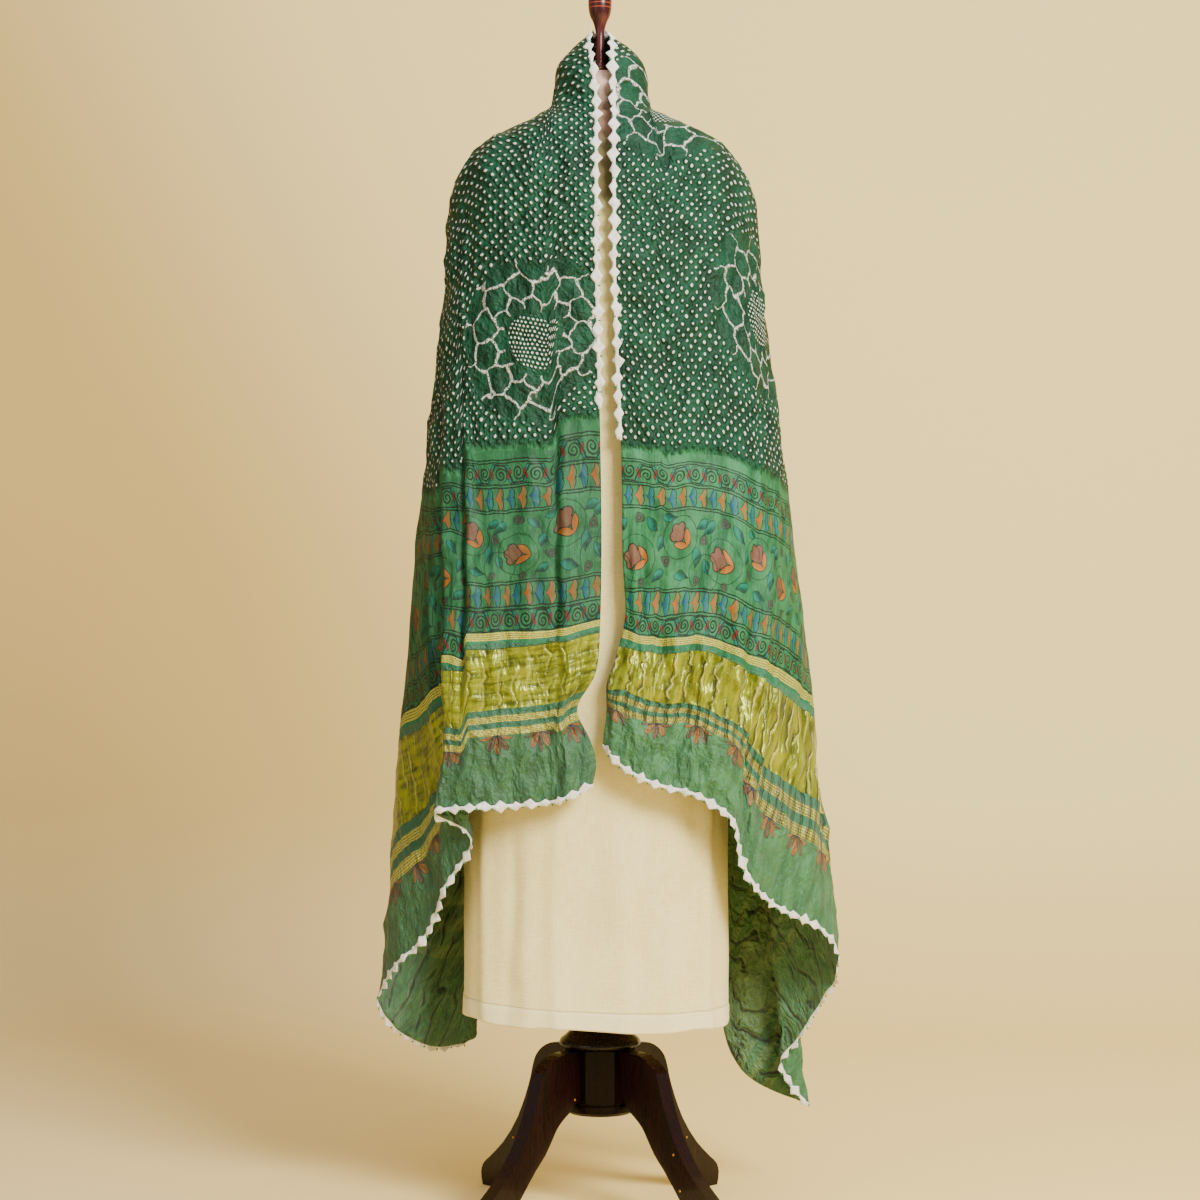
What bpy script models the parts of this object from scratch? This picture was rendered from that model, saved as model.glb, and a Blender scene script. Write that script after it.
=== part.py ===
"""A bandhani cloth hung as a cape over a covered dress form on a four-legged wooden stand.

Metres, +Z up. The origin is on the floor under the middle of the form, which faces -Y.

The cloth is described by fabric coordinates. "along" runs down the length from the centre back to either
short end, and "across" runs from the inner long edge, which goes up round the finial, to the outer one.
The cloth is held along a ridge that runs down the neck and along each shoulder. From there it hangs in
lines: straight down in front, straight down behind, and fanned out from the shoulder's tip in between.
"""

import math

import bmesh
import bpy
import numpy as np

# ---------------------------------------------------------------- cloth sizes
CLOTH_LENGTH = 2.10
CLOTH_WIDTH = 0.90
CLOTH_THICK = 0.0016
REACH = CLOTH_LENGTH / 2  # along, at a short end
TIP = 0.17  # across, where the ridge ends at the shoulder's tip
FINIAL_WRAP = 0.018  # along, from the centre back to the side of the finial
LACE_REACH = 0.57  # along, where the long edges' lace stops
LACE_WIDTH = 0.008  # how far the lace's points stand out past the cloth
LACE_THICK = 0.0012
LACE_GAP = 0.0010  # between the cloth's edge and the lace that carries it on

# What the upper cloth lies over, as oval sections. The ridge is where they are widest.
SHOULDER_COLUMNS = ("height", "half_width", "front", "back")
SHOULDER = (
    (1.488, 0.0150, 0.0125, 0.0135),
    (1.472, 0.0360, 0.0260, 0.0280),
    (1.452, 0.0540, 0.0460, 0.0480),
    (1.425, 0.0585, 0.0570, 0.0570),
    (1.403, 0.0605, 0.0620, 0.0600),
    (1.388, 0.0690, 0.0680, 0.0650),
    (1.375, 0.0980, 0.0780, 0.0740),
    (1.358, 0.1380, 0.0880, 0.0840),
    (1.336, 0.1680, 0.0980, 0.0950),
    (1.310, 0.1860, 0.1080, 0.1060),
    (1.280, 0.1950, 0.1160, 0.1140),
    (1.240, 0.2000, 0.1240, 0.1200),
    (1.200, 0.2030, 0.1300, 0.1240),
)
TIP_HEIGHT = 1.336
RING_HEIGHT = SHOULDER[-1][0]  # the cloth hangs free below this
MIDDLE_HEIGHT = 0.75  # where each hanging line passes its middle point
TIP_X = 0.166  # how far out the tip's front and back lines hang at the ring
GATHER_FROM = 0.223  # the gold border and what is below it, which the front lines gather up

# One row for each hanging line that shapes a fold: where it meets the outline in fabric coordinates, where it
# passes the middle height, and where it ends. "gather" is how much shorter its gold border and end band hang.
LINE_COLUMNS = (
    "along", "across", "middle_x", "middle_y", "end_x", "end_y", "end_height", "gather",
)
RIGHT_LINES = (
    (1.050, 0.000, 0.0220, -0.140, 0.0037, -0.138, 0.594, 0.80),
    (1.050, 0.045, 0.0560, -0.145, 0.0268, -0.151, 0.569, 0.80),
    (1.050, 0.100, 0.0980, -0.146, 0.0632, -0.155, 0.549, 0.80),
    (1.050, 0.185, 0.1580, -0.140, 0.1217, -0.150, 0.532, 0.80),
    (1.050, 0.255, 0.1900, -0.124, 0.1625, -0.136, 0.500, 0.83),
    (1.050, 0.305, 0.2050, -0.112, 0.1729, -0.124, 0.462, 0.91),
    (1.050, 0.365, 0.2200, -0.094, 0.1872, -0.108, 0.420, 1.00),
    (1.050, 0.425, 0.2330, -0.072, 0.2171, -0.084, 0.393, 1.03),
    (1.050, 0.565, 0.2545, -0.024, 0.2930, -0.020, 0.338, 1.08),
    (1.050, 0.610, 0.2575, 0.002, 0.3039, 0.004, 0.307, 1.14),
    (1.050, 0.685, 0.2480, 0.036, 0.2825, 0.040, 0.257, 1.10),
    (1.050, 0.770, 0.2200, 0.062, 0.2522, 0.066, 0.202, 1.04),
    (1.050, 0.815, 0.2030, 0.072, 0.2336, 0.078, 0.174, 1.02),
    (1.050, 0.860, 0.1880, 0.082, 0.2500, 0.080, 0.138, 1.00),
    (1.050, 0.900, 0.1780, 0.090, 0.2730, 0.090, 0.114, 1.00),
    (1.015, 0.900, 0.1740, 0.098, 0.2590, 0.104, 0.116, 1.00),
    (0.915, 0.900, 0.1660, 0.108, 0.1858, 0.116, 0.154, 1.00),
    (0.820, 0.900, 0.1600, 0.116, 0.1603, 0.124, 0.226, 1.00),
    (0.700, 0.900, 0.1850, 0.142, 0.1920, 0.152, 0.360, 1.00),
    (0.600, 0.900, 0.2200, 0.168, 0.2420, 0.190, 0.456, 1.00),
    (0.500, 0.900, 0.1920, 0.176, 0.2000, 0.200, 0.528, 1.00),
    (0.420, 0.900, 0.1540, 0.157, 0.1540, 0.166, 0.574, 1.00),
    (0.340, 0.900, 0.1600, 0.188, 0.1650, 0.222, 0.610, 1.00),
    (0.260, 0.900, 0.1380, 0.194, 0.1350, 0.228, 0.630, 1.00),
    (0.188, 0.900, 0.1150, 0.162, 0.1120, 0.172, 0.641, 1.00),
    (0.100, 0.900, 0.0720, 0.152, 0.0700, 0.162, 0.620, 1.00),
    (0.000, 0.900, 0.0000, 0.150, 0.0000, 0.158, 0.612, 1.00),
)
LEFT_LINES = (
    (1.050, 0.000, -0.0005, -0.140, 0.0097, -0.148, 0.546, 0.82),
    (1.050, 0.060, 0.0500, -0.145, 0.0486, -0.153, 0.528, 0.82),
    (1.050, 0.160, 0.1320, -0.142, 0.1217, -0.151, 0.520, 0.80),
    (1.050, 0.260, 0.1800, -0.128, 0.1991, -0.137, 0.511, 0.80),
    (1.050, 0.340, 0.1960, -0.108, 0.1548, -0.118, 0.479, 0.80),
    (1.050, 0.420, 0.2110, -0.084, 0.1852, -0.100, 0.425, 0.86),
    (1.050, 0.515, 0.2270, -0.052, 0.2116, -0.072, 0.360, 0.97),
    (1.050, 0.645, 0.2400, -0.010, 0.2715, -0.020, 0.291, 1.08),
    (1.050, 0.695, 0.2385, 0.014, 0.2814, 0.010, 0.262, 1.06),
    (1.050, 0.770, 0.2240, 0.042, 0.2572, 0.046, 0.217, 1.02),
    (1.050, 0.850, 0.1970, 0.066, 0.2075, 0.076, 0.191, 1.00),
    (1.050, 0.900, 0.1800, 0.080, 0.1745, 0.092, 0.195, 1.00),
    (0.915, 0.900, 0.1700, 0.098, 0.1620, 0.108, 0.228, 1.00),
    (0.820, 0.900, 0.1640, 0.114, 0.1600, 0.126, 0.290, 1.00),
    (0.700, 0.900, 0.1850, 0.142, 0.1900, 0.154, 0.385, 1.00),
    (0.600, 0.900, 0.2120, 0.168, 0.2320, 0.190, 0.465, 1.00),
    (0.500, 0.900, 0.1880, 0.176, 0.1950, 0.200, 0.532, 1.00),
    (0.420, 0.900, 0.1520, 0.158, 0.1520, 0.168, 0.575, 1.00),
    (0.340, 0.900, 0.1580, 0.186, 0.1620, 0.218, 0.608, 1.00),
    (0.260, 0.900, 0.1360, 0.192, 0.1340, 0.224, 0.628, 1.00),
    (0.188, 0.900, 0.1140, 0.162, 0.1100, 0.172, 0.640, 1.00),
    (0.100, 0.900, 0.0720, 0.152, 0.0700, 0.162, 0.620, 1.00),
    (0.000, 0.900, 0.0000, 0.150, 0.0000, 0.158, 0.612, 1.00),
)
RIGHT, LEFT = 1, -1
LINES = {RIGHT: RIGHT_LINES, LEFT: LEFT_LINES}
INNER_EDGE_X = {RIGHT: 0.0175, LEFT: 0.0005}  # outward from the middle, at the ring
SIDE_WIDTH = {RIGHT: 1.0, LEFT: 0.965}

# Soft upright folds on the front panels: outward push at the fold's middle, its place and width across, and the
# height above the end at which it fades out.
# Columns: side, across, width, push, fades above.
FOLDS = (
    (LEFT, 0.045, 0.016, 0.0050, 0.55),
    (LEFT, 0.085, 0.018, -0.0060, 0.55),
    (LEFT, 0.205, 0.022, 0.0050, 0.50),
    (RIGHT, 0.020, 0.012, 0.0040, 0.45),
    (RIGHT, 0.125, 0.020, -0.0040, 0.50),
    (RIGHT, 0.200, 0.020, 0.0050, 0.55),
)

# ---------------------------------------------------------------- dress form sizes
# Columns: height, half width, front, back.
FORM = (
    (0.262, 0.150, 0.098, 0.098),
    (0.290, 0.158, 0.104, 0.104),
    (0.700, 0.155, 0.100, 0.100),
    (0.950, 0.150, 0.098, 0.096),
    (1.120, 0.158, 0.108, 0.098),
    (1.200, 0.170, 0.108, 0.100),
    (1.260, 0.172, 0.098, 0.094),
    (1.300, 0.162, 0.088, 0.084),
    (1.330, 0.140, 0.076, 0.074),
    (1.350, 0.100, 0.066, 0.064),
    (1.366, 0.062, 0.056, 0.054),
    (1.385, 0.050, 0.050, 0.048),
    (1.422, 0.048, 0.046, 0.046),
    (1.434, 0.039, 0.037, 0.037),
    (1.440, 0.024, 0.023, 0.023),
    (1.442, 0.010, 0.010, 0.010),
)
COVER_THICK = 0.0015
# Columns: height, half width, front, back.
COVER = (
    (0.2375, 0.1720, 0.1160, 0.1160),
    (0.2500, 0.1720, 0.1160, 0.1160),
    (0.2700, 0.1710, 0.1150, 0.1150),
    (0.500, 0.1700, 0.1140, 0.1120),
    (0.800, 0.1690, 0.1140, 0.1100),
    (1.050, 0.1700, 0.1150, 0.1080),
    (1.150, 0.1740, 0.1160, 0.1080),
    (1.200, 0.1770, 0.1150, 0.1070),
    (1.260, 0.1785, 0.1045, 0.1010),
    (1.300, 0.1685, 0.0945, 0.0905),
    (1.330, 0.1465, 0.0825, 0.0805),
    (1.350, 0.1065, 0.0725, 0.0705),
    (1.366, 0.0685, 0.0625, 0.0605),
    (1.384, 0.0545, 0.0545, 0.0525),
)
COVER_HEM_DROP = 0.006  # how far the hem waves up and down

# ---------------------------------------------------------------- stand sizes
FINIAL_FOOT = 1.4436
FINIAL_PROFILE = (  # radius, height over the finial's foot
    (0.0105, 0.0000),
    (0.0105, 0.0024),
    (0.0082, 0.0050),
    (0.0064, 0.0200),
    (0.0055, 0.0400),
    (0.0060, 0.0500),
    (0.0085, 0.0600),
    (0.0130, 0.0700),
    (0.0150, 0.0820),
    (0.0146, 0.0920),
    (0.0120, 0.1020),
    (0.0085, 0.1090),
    (0.0045, 0.1130),
)
FINIAL_RING = (0.0110, 0.0130, 0.0016)  # inner radius, outer radius, height
COLLAR_PROFILE = (  # radius, height
    (0.0260, 0.2042),
    (0.0480, 0.2050),
    (0.0515, 0.2085),
    (0.0510, 0.2130),
    (0.0440, 0.2195),
    (0.0380, 0.2260),
    (0.0340, 0.2400),
    (0.0340, 0.2616),
)
HUB_FOOT = (  # radius, height: the round foot under the eight-sided post
    (0.0300, 0.1200),
    (0.0400, 0.1214),
    (0.0455, 0.1255),
    (0.0470, 0.1305),
    (0.0470, 0.1340),
    (0.0450, 0.1362),
)
HUB_HALF_WIDTH = 0.0440  # from the axis to each flat of the post
HUB_TOP = 0.2038
LEG_THICK = 0.020
LEG_ROOT = 0.0444  # where each leg meets its flat
LEG_UPPER = (  # distance from the stand's axis, height: the upper edge from the hub to the toe
    (0.0444, 0.2030),
    (0.0640, 0.2035),
    (0.0810, 0.2012),
    (0.0960, 0.1938),
    (0.1075, 0.1825),
    (0.1130, 0.1700),
    (0.1170, 0.1550),
    (0.1270, 0.1280),
    (0.1430, 0.0960),
    (0.1690, 0.0620),
    (0.1950, 0.0390),
    (0.2080, 0.0280),
    (0.2120, 0.0170),
    (0.2090, 0.0000),
)
LEG_LOWER = (  # the lower edge from the heel of the foot back to the hub
    (0.1740, 0.0000),
    (0.1560, 0.0220),
    (0.1400, 0.0430),
    (0.1215, 0.0650),
    (0.1045, 0.0830),
    (0.0930, 0.1000),
    (0.0840, 0.1130),
    (0.0710, 0.1240),
    (0.0590, 0.1325),
    (0.0530, 0.1390),
)
LEGS = {
    "leg_front_left": -135.0,
    "leg_front_right": -45.0,
    "leg_back_right": 45.0,
    "leg_back_left": 135.0,
}

# ---------------------------------------------------------------- colours: base colour, roughness, metallic
FINISHES = {
    "bandhani_silk": ((0.030, 0.130, 0.065), 0.70, 0.0),
    "cotton_lace": ((0.780, 0.760, 0.700), 0.85, 0.0),
    "linen": ((0.800, 0.740, 0.550), 0.90, 0.0),
    "form_skin": ((0.520, 0.350, 0.280), 0.60, 0.0),
    "dark_wood": ((0.045, 0.009, 0.009), 0.25, 0.0),
    "brass": ((0.600, 0.270, 0.080), 0.30, 1.0),
}


# ---------------------------------------------------------------- small tools
def columns(rows, names):
    """A table's columns as arrays, by name."""
    return dict(zip(names, np.array(rows, float).T, strict=True))


def smooth_step(value):
    held = np.clip(value, 0.0, 1.0)
    return held * held * (3 - 2 * held)


def through(knots, values, at):
    """A smooth curve through values at rising knots, read at other places."""
    knots = np.asarray(knots, float)
    values = np.asarray(values, float)
    slopes = np.gradient(values, knots)
    low = np.clip(np.searchsorted(knots, at, side="right") - 1, 0, len(knots) - 2)
    span = knots[low + 1] - knots[low]
    part = np.clip((at - knots[low]) / span, 0.0, 1.0)
    square, cube = part**2, part**3
    return (
        (2 * cube - 3 * square + 1) * values[low]
        + (cube - 2 * square + part) * span * slopes[low]
        + (3 * square - 2 * cube) * values[low + 1]
        + (cube - square) * span * slopes[low + 1]
    )


# ---------------------------------------------------------------- how the cloth hangs
def line_of(along, across):
    """The hanging line through a point of the cloth: its number from 0 at the front edge to 3 at the centre
    back, how far down the line the point is, and how long the line is."""
    along = np.asarray(along, float)
    across = np.asarray(across, float)
    tip_along = TIP + FINIAL_WRAP
    from_ridge = np.maximum(along - FINIAL_WRAP, 0.0)
    out, down = along - tip_along, across - TIP
    turn = np.clip(np.arctan2(down, out), 1e-6, math.pi / 2 - 1e-6)
    front = (across <= TIP) & (along >= across + FINIAL_WRAP)
    back = (along <= tip_along) & (across > from_ridge - 1e-9) & ~front
    line = np.where(front, across / TIP, np.where(back, 3 - along / tip_along, 1 + turn / (math.pi / 2)))
    far = np.where(front, along - across - FINIAL_WRAP, np.where(back, across - from_ridge, np.hypot(out, down)))
    fan_length = np.minimum((REACH - tip_along) / np.cos(turn), (CLOTH_WIDTH - TIP) / np.sin(turn))
    length = np.where(
        front, REACH - across - FINIAL_WRAP, np.where(back, CLOTH_WIDTH - from_ridge, fan_length)
    )
    return line, far, length


def outline_run(line):
    """How far along the outline a hanging line ends: over the short end, then along the outer edge."""
    tip_along = TIP + FINIAL_WRAP
    turn = np.clip((line - 1) * math.pi / 2, 1e-6, math.pi / 2 - 1e-6)
    on_end = TIP + (REACH - tip_along) * np.tan(turn)
    on_edge = CLOTH_WIDTH + REACH - tip_along - (CLOTH_WIDTH - TIP) / np.tan(turn)
    fan = np.where(on_end < CLOTH_WIDTH, on_end, on_edge)
    return np.where(line <= 1, line * TIP, np.where(line >= 2, CLOTH_WIDTH + REACH - (3 - line) * tip_along, fan))


def hanging_net(side, line_count=601, step_count=81):
    """Where each hanging line goes: its points at even steps, from the ridge to the outline."""
    body = columns(SHOULDER, SHOULDER_COLUMNS)
    rising = body["height"][::-1]

    def section(name, height):
        return through(rising, body[name][::-1], height)

    # The ridge runs down the sections' widest points. It is read by the share of its length.
    ridge_heights = np.linspace(rising[-1], TIP_HEIGHT, 60)
    ridge_x = section("half_width", ridge_heights)
    ridge_way = np.concatenate([[0], np.cumsum(np.hypot(np.diff(ridge_x), np.diff(ridge_heights)))])

    def ridge_height(share):
        return np.interp(share * ridge_way[-1], ridge_way, ridge_heights)

    rows = columns(LINES[side], LINE_COLUMNS)
    at_rows = rows["across"] + REACH - rows["along"]
    lines = np.linspace(0, 3, line_count)
    ends = {name: through(at_rows, rows[name], outline_run(lines)) for name in LINE_COLUMNS[2:]}
    tip_along = TIP + FINIAL_WRAP
    net = np.zeros((line_count, step_count, 3))
    for index, line in enumerate(lines):
        if line <= 1:
            start_share, ridge_turn = line, 0.0
            ring_x = INNER_EDGE_X[side] + (TIP_X - INNER_EDGE_X[side]) * line
            sign = -1
        elif line >= 2:
            along = (3 - line) * tip_along
            start_share = max(along - FINIAL_WRAP, 0.0) / TIP
            ridge_turn = math.pi / 2 * max(1 - along / FINIAL_WRAP, 0.0)
            ring_x = TIP_X * along / tip_along
            sign = 1
        else:
            start_share, ridge_turn, ring_x, sign = 1.0, 0.0, TIP_X, -1
        top = ridge_height(start_share)
        heights = top + (RING_HEIGHT - top) * np.linspace(0, 1, 40) ** 1.6
        width = section("half_width", heights)
        start_x = width[0] * math.cos(ridge_turn)
        x_way = start_x + (ring_x - start_x) * smooth_step((top - heights) / 0.10)
        turn = sign * np.arccos(np.clip(x_way / width, -1.0, 1.0))
        if 1 < line < 2:
            back_turn = -turn
            turn = turn + (back_turn - turn) * (line - 1)
        depth = np.where(turn < 0, section("front", heights), section("back", heights))
        upper = np.stack([width * np.cos(turn), depth * np.sin(turn), heights], axis=1)
        upper[:, 0] *= SIDE_WIDTH[side]
        # Below the ring the line hangs through its middle point to its end.
        end_height = ends["end_height"][index]
        low_heights = np.linspace(RING_HEIGHT, end_height, 61)[1:]
        knots = (-RING_HEIGHT, -MIDDLE_HEIGHT, -end_height)
        plan = np.stack([
            through(knots, (upper[-1, axis], ends["middle_" + name][index], ends["end_" + name][index]), -low_heights)
            for axis, name in enumerate("xy")
        ], axis=1)
        lower = np.concatenate([plan, low_heights[:, None]], axis=1)
        path = np.concatenate([upper, lower])
        way = np.concatenate([[0], np.cumsum(np.linalg.norm(np.diff(path, axis=0), axis=1))])
        steps = np.linspace(0, way[-1], step_count)
        for axis in range(3):
            net[index, :, axis] = np.interp(steps, way, path[:, axis])
    net[:, :, 0] *= side
    return net, lines, ends["gather"]


NETS = {side: hanging_net(side) for side in (RIGHT, LEFT)}


def draped(side, along, across):
    """Where points of the cloth are, from their fabric coordinates."""
    net, lines, gathers = NETS[side]
    line, far, length = line_of(along, across)
    share = np.clip(far / length, 0.0, 1.0)
    gather = np.interp(line, lines, gathers)
    loose = np.clip(1 - GATHER_FROM / (REACH - TIP - FINIAL_WRAP), 0.0, 1.0)
    upper_scale = (1 - (1 - loose) * gather) / loose
    share = np.where(share < loose, share * upper_scale, 1 - (1 - share) * gather)
    row = np.clip(line / 3 * (len(net) - 1), 0, len(net) - 1.001)
    column = np.clip(share * (net.shape[1] - 1), 0, net.shape[1] - 1.001)
    row_low, column_low = row.astype(int), column.astype(int)
    row_part, column_part = (row - row_low)[..., None], (column - column_low)[..., None]
    near = net[row_low, column_low] * (1 - column_part) + net[row_low, column_low + 1] * column_part
    next_near = (
        net[row_low + 1, column_low] * (1 - column_part) + net[row_low + 1, column_low + 1] * column_part
    )
    place = near * (1 - row_part) + next_near * row_part
    for fold in FOLDS:
        fold_side, fold_across, width, push, fades = fold
        if fold_side == side:
            shape = np.exp(-(((across - fold_across) / width) ** 2))
            growth = smooth_step(1 - (REACH - along) / fades)
            place[..., 1] -= push * shape * growth
    return place


# ---------------------------------------------------------------- making objects
def finish(name):
    material = bpy.data.materials.get(name)
    if material is None:
        colour, roughness, metallic = FINISHES[name]
        material = bpy.data.materials.new(name)
        material.use_nodes = True
        shader = material.node_tree.nodes["Principled BSDF"]
        shader.inputs["Base Color"].default_value = (*colour, 1.0)
        shader.inputs["Roughness"].default_value = roughness
        shader.inputs["Metallic"].default_value = metallic
    return material


def add_object(name, points, faces, finish_name):
    """A closed mesh object, smooth but for its hard edges."""
    mesh = bpy.data.meshes.new(name)
    mesh.from_pydata([tuple(map(float, point)) for point in points], [], faces)
    bm = bmesh.new()
    bm.from_mesh(mesh)
    bmesh.ops.recalc_face_normals(bm, faces=bm.faces)
    bm.to_mesh(mesh)
    bm.free()
    mesh.shade_smooth()
    mesh.set_sharp_from_angle(angle=math.radians(40))
    mesh.materials.append(finish(finish_name))
    thing = bpy.data.objects.new(name, mesh)
    bpy.context.scene.collection.objects.link(thing)
    return thing


def ring_faces(ring_count, around):
    """Quads between rings of points that are laid out one ring after another."""
    return [
        (ring * around + k, ring * around + (k + 1) % around,
         (ring + 1) * around + (k + 1) % around, (ring + 1) * around + k)
        for ring in range(ring_count - 1)
        for k in range(around)
    ]


def closed_rings(name, rings, finish_name):
    """A solid through rings of points, closed flat at both ends."""
    around = len(rings[0])
    points = [point for ring in rings for point in ring]
    faces = ring_faces(len(rings), around)
    faces += [tuple(range(around)), tuple(range(len(points) - around, len(points)))]
    return add_object(name, points, faces, finish_name)


def oval(half_width, front, back, height, around, power):
    """Points round a rounded section that is deeper or shallower behind than in front."""
    points = []
    for k in range(around):
        turn = math.tau * k / around
        reach_x = math.copysign(abs(math.cos(turn)) ** (2 / power), math.cos(turn))
        reach_y = math.copysign(abs(math.sin(turn)) ** (2 / power), math.sin(turn))
        depth = back if reach_y > 0 else front
        points.append((half_width * reach_x, depth * reach_y, height))
    return points


def turned(name, profile, finish_name, base=0.0, around=28):
    rings = [oval(radius, radius, radius, base + height, around, 2.0) for radius, height in profile]
    return closed_rings(name, rings, finish_name)


# ---------------------------------------------------------------- cloth and lace
def draped_grid(run, across):
    """Points of the cloth's middle surface: rows across, columns from the left end to the right one."""
    grid = np.zeros((len(across), len(run), 3))
    for side in (RIGHT, LEFT):
        held = run >= 0 if side == RIGHT else run < 0
        along_grid, across_grid = np.meshgrid(np.abs(run[held]), across)
        grid[:, held] = draped(side, along_grid, across_grid)
    return grid


def cloth_grid():
    """The places of the cloth's rows and columns, their points, and the points midway between them."""
    columns_out = np.concatenate([
        np.linspace(0, 0.03, 3)[:-1], np.linspace(0.03, 0.15, 6)[:-1], np.linspace(0.15, 0.57, 18)[:-1],
        np.linspace(0.57, REACH, 14),
    ])
    run = np.concatenate([-columns_out[:0:-1], columns_out])
    across = np.linspace(0, CLOTH_WIDTH, 29)
    centres = draped_grid((run[1:] + run[:-1]) / 2, (across[1:] + across[:-1]) / 2)
    return run, draped_grid(run, across), centres


def grid_normals(grid):
    down = np.gradient(grid, axis=0)
    over = np.gradient(grid, axis=1)
    normals = np.cross(over, down)
    normals /= np.linalg.norm(normals, axis=2, keepdims=True)
    # Even out the sharpest turns.
    spread = np.pad(normals, ((1, 1), (1, 1), (0, 0)), mode="edge")
    normals = 2 * normals + spread[:-2, 1:-1] + spread[2:, 1:-1] + spread[1:-1, :-2] + spread[1:-1, 2:]
    normals /= np.linalg.norm(normals, axis=2, keepdims=True)
    return normals


def sheet(name, middle, centres, normals, thickness, finish_name):
    """A closed sheet of even thickness on a grid of middle points. Each cell is split the same way on both faces,
    along the diagonal that passes nearer its centre."""
    rows, count = middle.shape[:2]
    points = np.concatenate([
        (middle + normals * thickness / 2).reshape(-1, 3),
        (middle - normals * thickness / 2).reshape(-1, 3),
    ])
    under = rows * count

    def at(row, column):
        return row * count + column

    faces = []
    for row in range(rows - 1):
        for column in range(count - 1):
            quad = [at(row, column), at(row, column + 1), at(row + 1, column + 1), at(row + 1, column)]
            corners = middle[row:row + 2, column:column + 2]
            falling = np.linalg.norm((corners[0, 0] + corners[1, 1]) / 2 - centres[row, column])
            rising = np.linalg.norm((corners[0, 1] + corners[1, 0]) / 2 - centres[row, column])
            if rising < falling:
                quad = quad[1:] + quad[:1]
            for half in (quad[:3], quad[2:] + quad[:1]):
                faces.append(tuple(half))
                faces.append(tuple(under + corner for corner in reversed(half)))
    rim = [at(0, column) for column in range(count)]
    rim += [at(row, count - 1) for row in range(1, rows)]
    rim += [at(rows - 1, column) for column in range(count - 2, -1, -1)]
    rim += [at(row, 0) for row in range(rows - 2, 0, -1)]
    for here, there in zip(rim, rim[1:] + rim[:1], strict=True):
        faces.append((here, under + here, under + there, there))
    return add_object(name, points, faces, finish_name)


def lace(name, edge, inside, normals, width=LACE_WIDTH):
    """A flat strip that carries on outward past an edge of the cloth."""
    outward = np.cross(np.gradient(edge, axis=0), normals)
    outward *= np.sign(np.sum(outward * (edge - inside), axis=1, keepdims=True))
    outward /= np.linalg.norm(outward, axis=1, keepdims=True)
    strip = np.stack([edge + outward * LACE_GAP, edge + outward * (LACE_GAP + width)])
    centres = (strip[:1, 1:] + strip[1:, :-1]) / 2
    sheet(name, strip, centres, np.stack([normals, normals]), LACE_THICK, "cotton_lace")


def make_cloth():
    run, grid, centres = cloth_grid()
    normals = grid_normals(grid)
    sheet("cloth", grid, centres, normals, CLOTH_THICK, "bandhani_silk")
    dotted = np.abs(run) <= LACE_REACH + 0.02
    beside_finial = LACE_WIDTH * np.clip(np.abs(run[dotted, None]) / 0.05, 0.3, 1.0)
    lace("lace_neck", grid[0][dotted], grid[1][dotted], normals[0][dotted], beside_finial)
    lace("lace_back", grid[-1][dotted], grid[-2][dotted], normals[-1][dotted])
    lace("lace_left_end", grid[:, 0], grid[:, 1], normals[:, 0])
    lace("lace_right_end", grid[:, -1], grid[:, -2], normals[:, -1])


# ---------------------------------------------------------------- dress form and its cover
def make_form():
    rings = [oval(width, front, back, height, 36, 2.2) for height, width, front, back in FORM]
    closed_rings("form_torso", rings, "form_skin")


def make_cover():
    """The slip cover: a tube with a wall, open at the neck and at the hem."""
    around = 32
    outside, inside = [], []
    for height, width, front, back in COVER:
        ring = np.array(oval(width, front, back, height, around, 2.6))
        if height == COVER[0][0]:
            turns = math.tau * np.arange(around) / around
            ring[:, 2] += COVER_HEM_DROP * (0.5 * np.sin(3 * turns + 0.6) + 0.5 * np.sin(5 * turns))
        inner = ring.copy()
        inner[:, :2] *= 1 - COVER_THICK / np.linalg.norm(ring[:, :2], axis=1, keepdims=True)
        outside.append(ring)
        inside.append(inner)
    rings = outside + inside[::-1]
    points = [point for ring in rings for point in ring]
    faces = ring_faces(len(rings), around)
    last = len(points) - around
    faces += [(last + k, last + (k + 1) % around, (k + 1) % around, k) for k in range(around)]
    add_object("form_cover", points, faces, "linen")


# ---------------------------------------------------------------- finial and stand
def make_finial():
    turned("finial", FINIAL_PROFILE, "dark_wood", base=FINIAL_FOOT, around=24)
    inner, outer, height = FINIAL_RING
    corners = ((inner, 0.0), (outer, 0.0), (outer, height), (inner, height))
    around = 24
    points = [
        point for radius, level in corners
        for point in oval(radius, radius, radius, FINIAL_FOOT + level, around, 2.0)
    ]
    faces = ring_faces(4, around)
    faces += [(3 * around + k, 3 * around + (k + 1) % around, (k + 1) % around, k) for k in range(around)]
    add_object("finial_ring", points, faces, "brass")


def softened(points, steps):
    """A smooth outline through points, with this many steps between each two."""
    points = np.array(points)
    knots = np.concatenate([[0], np.cumsum(np.linalg.norm(np.diff(points, axis=0), axis=1))])
    at = np.concatenate([
        np.linspace(low, high, steps, endpoint=False) for low, high in zip(knots, knots[1:], strict=False)
    ] + [knots[-1:]])
    return np.stack([through(knots, points[:, 0], at), through(knots, points[:, 1], at)], axis=1)


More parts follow.
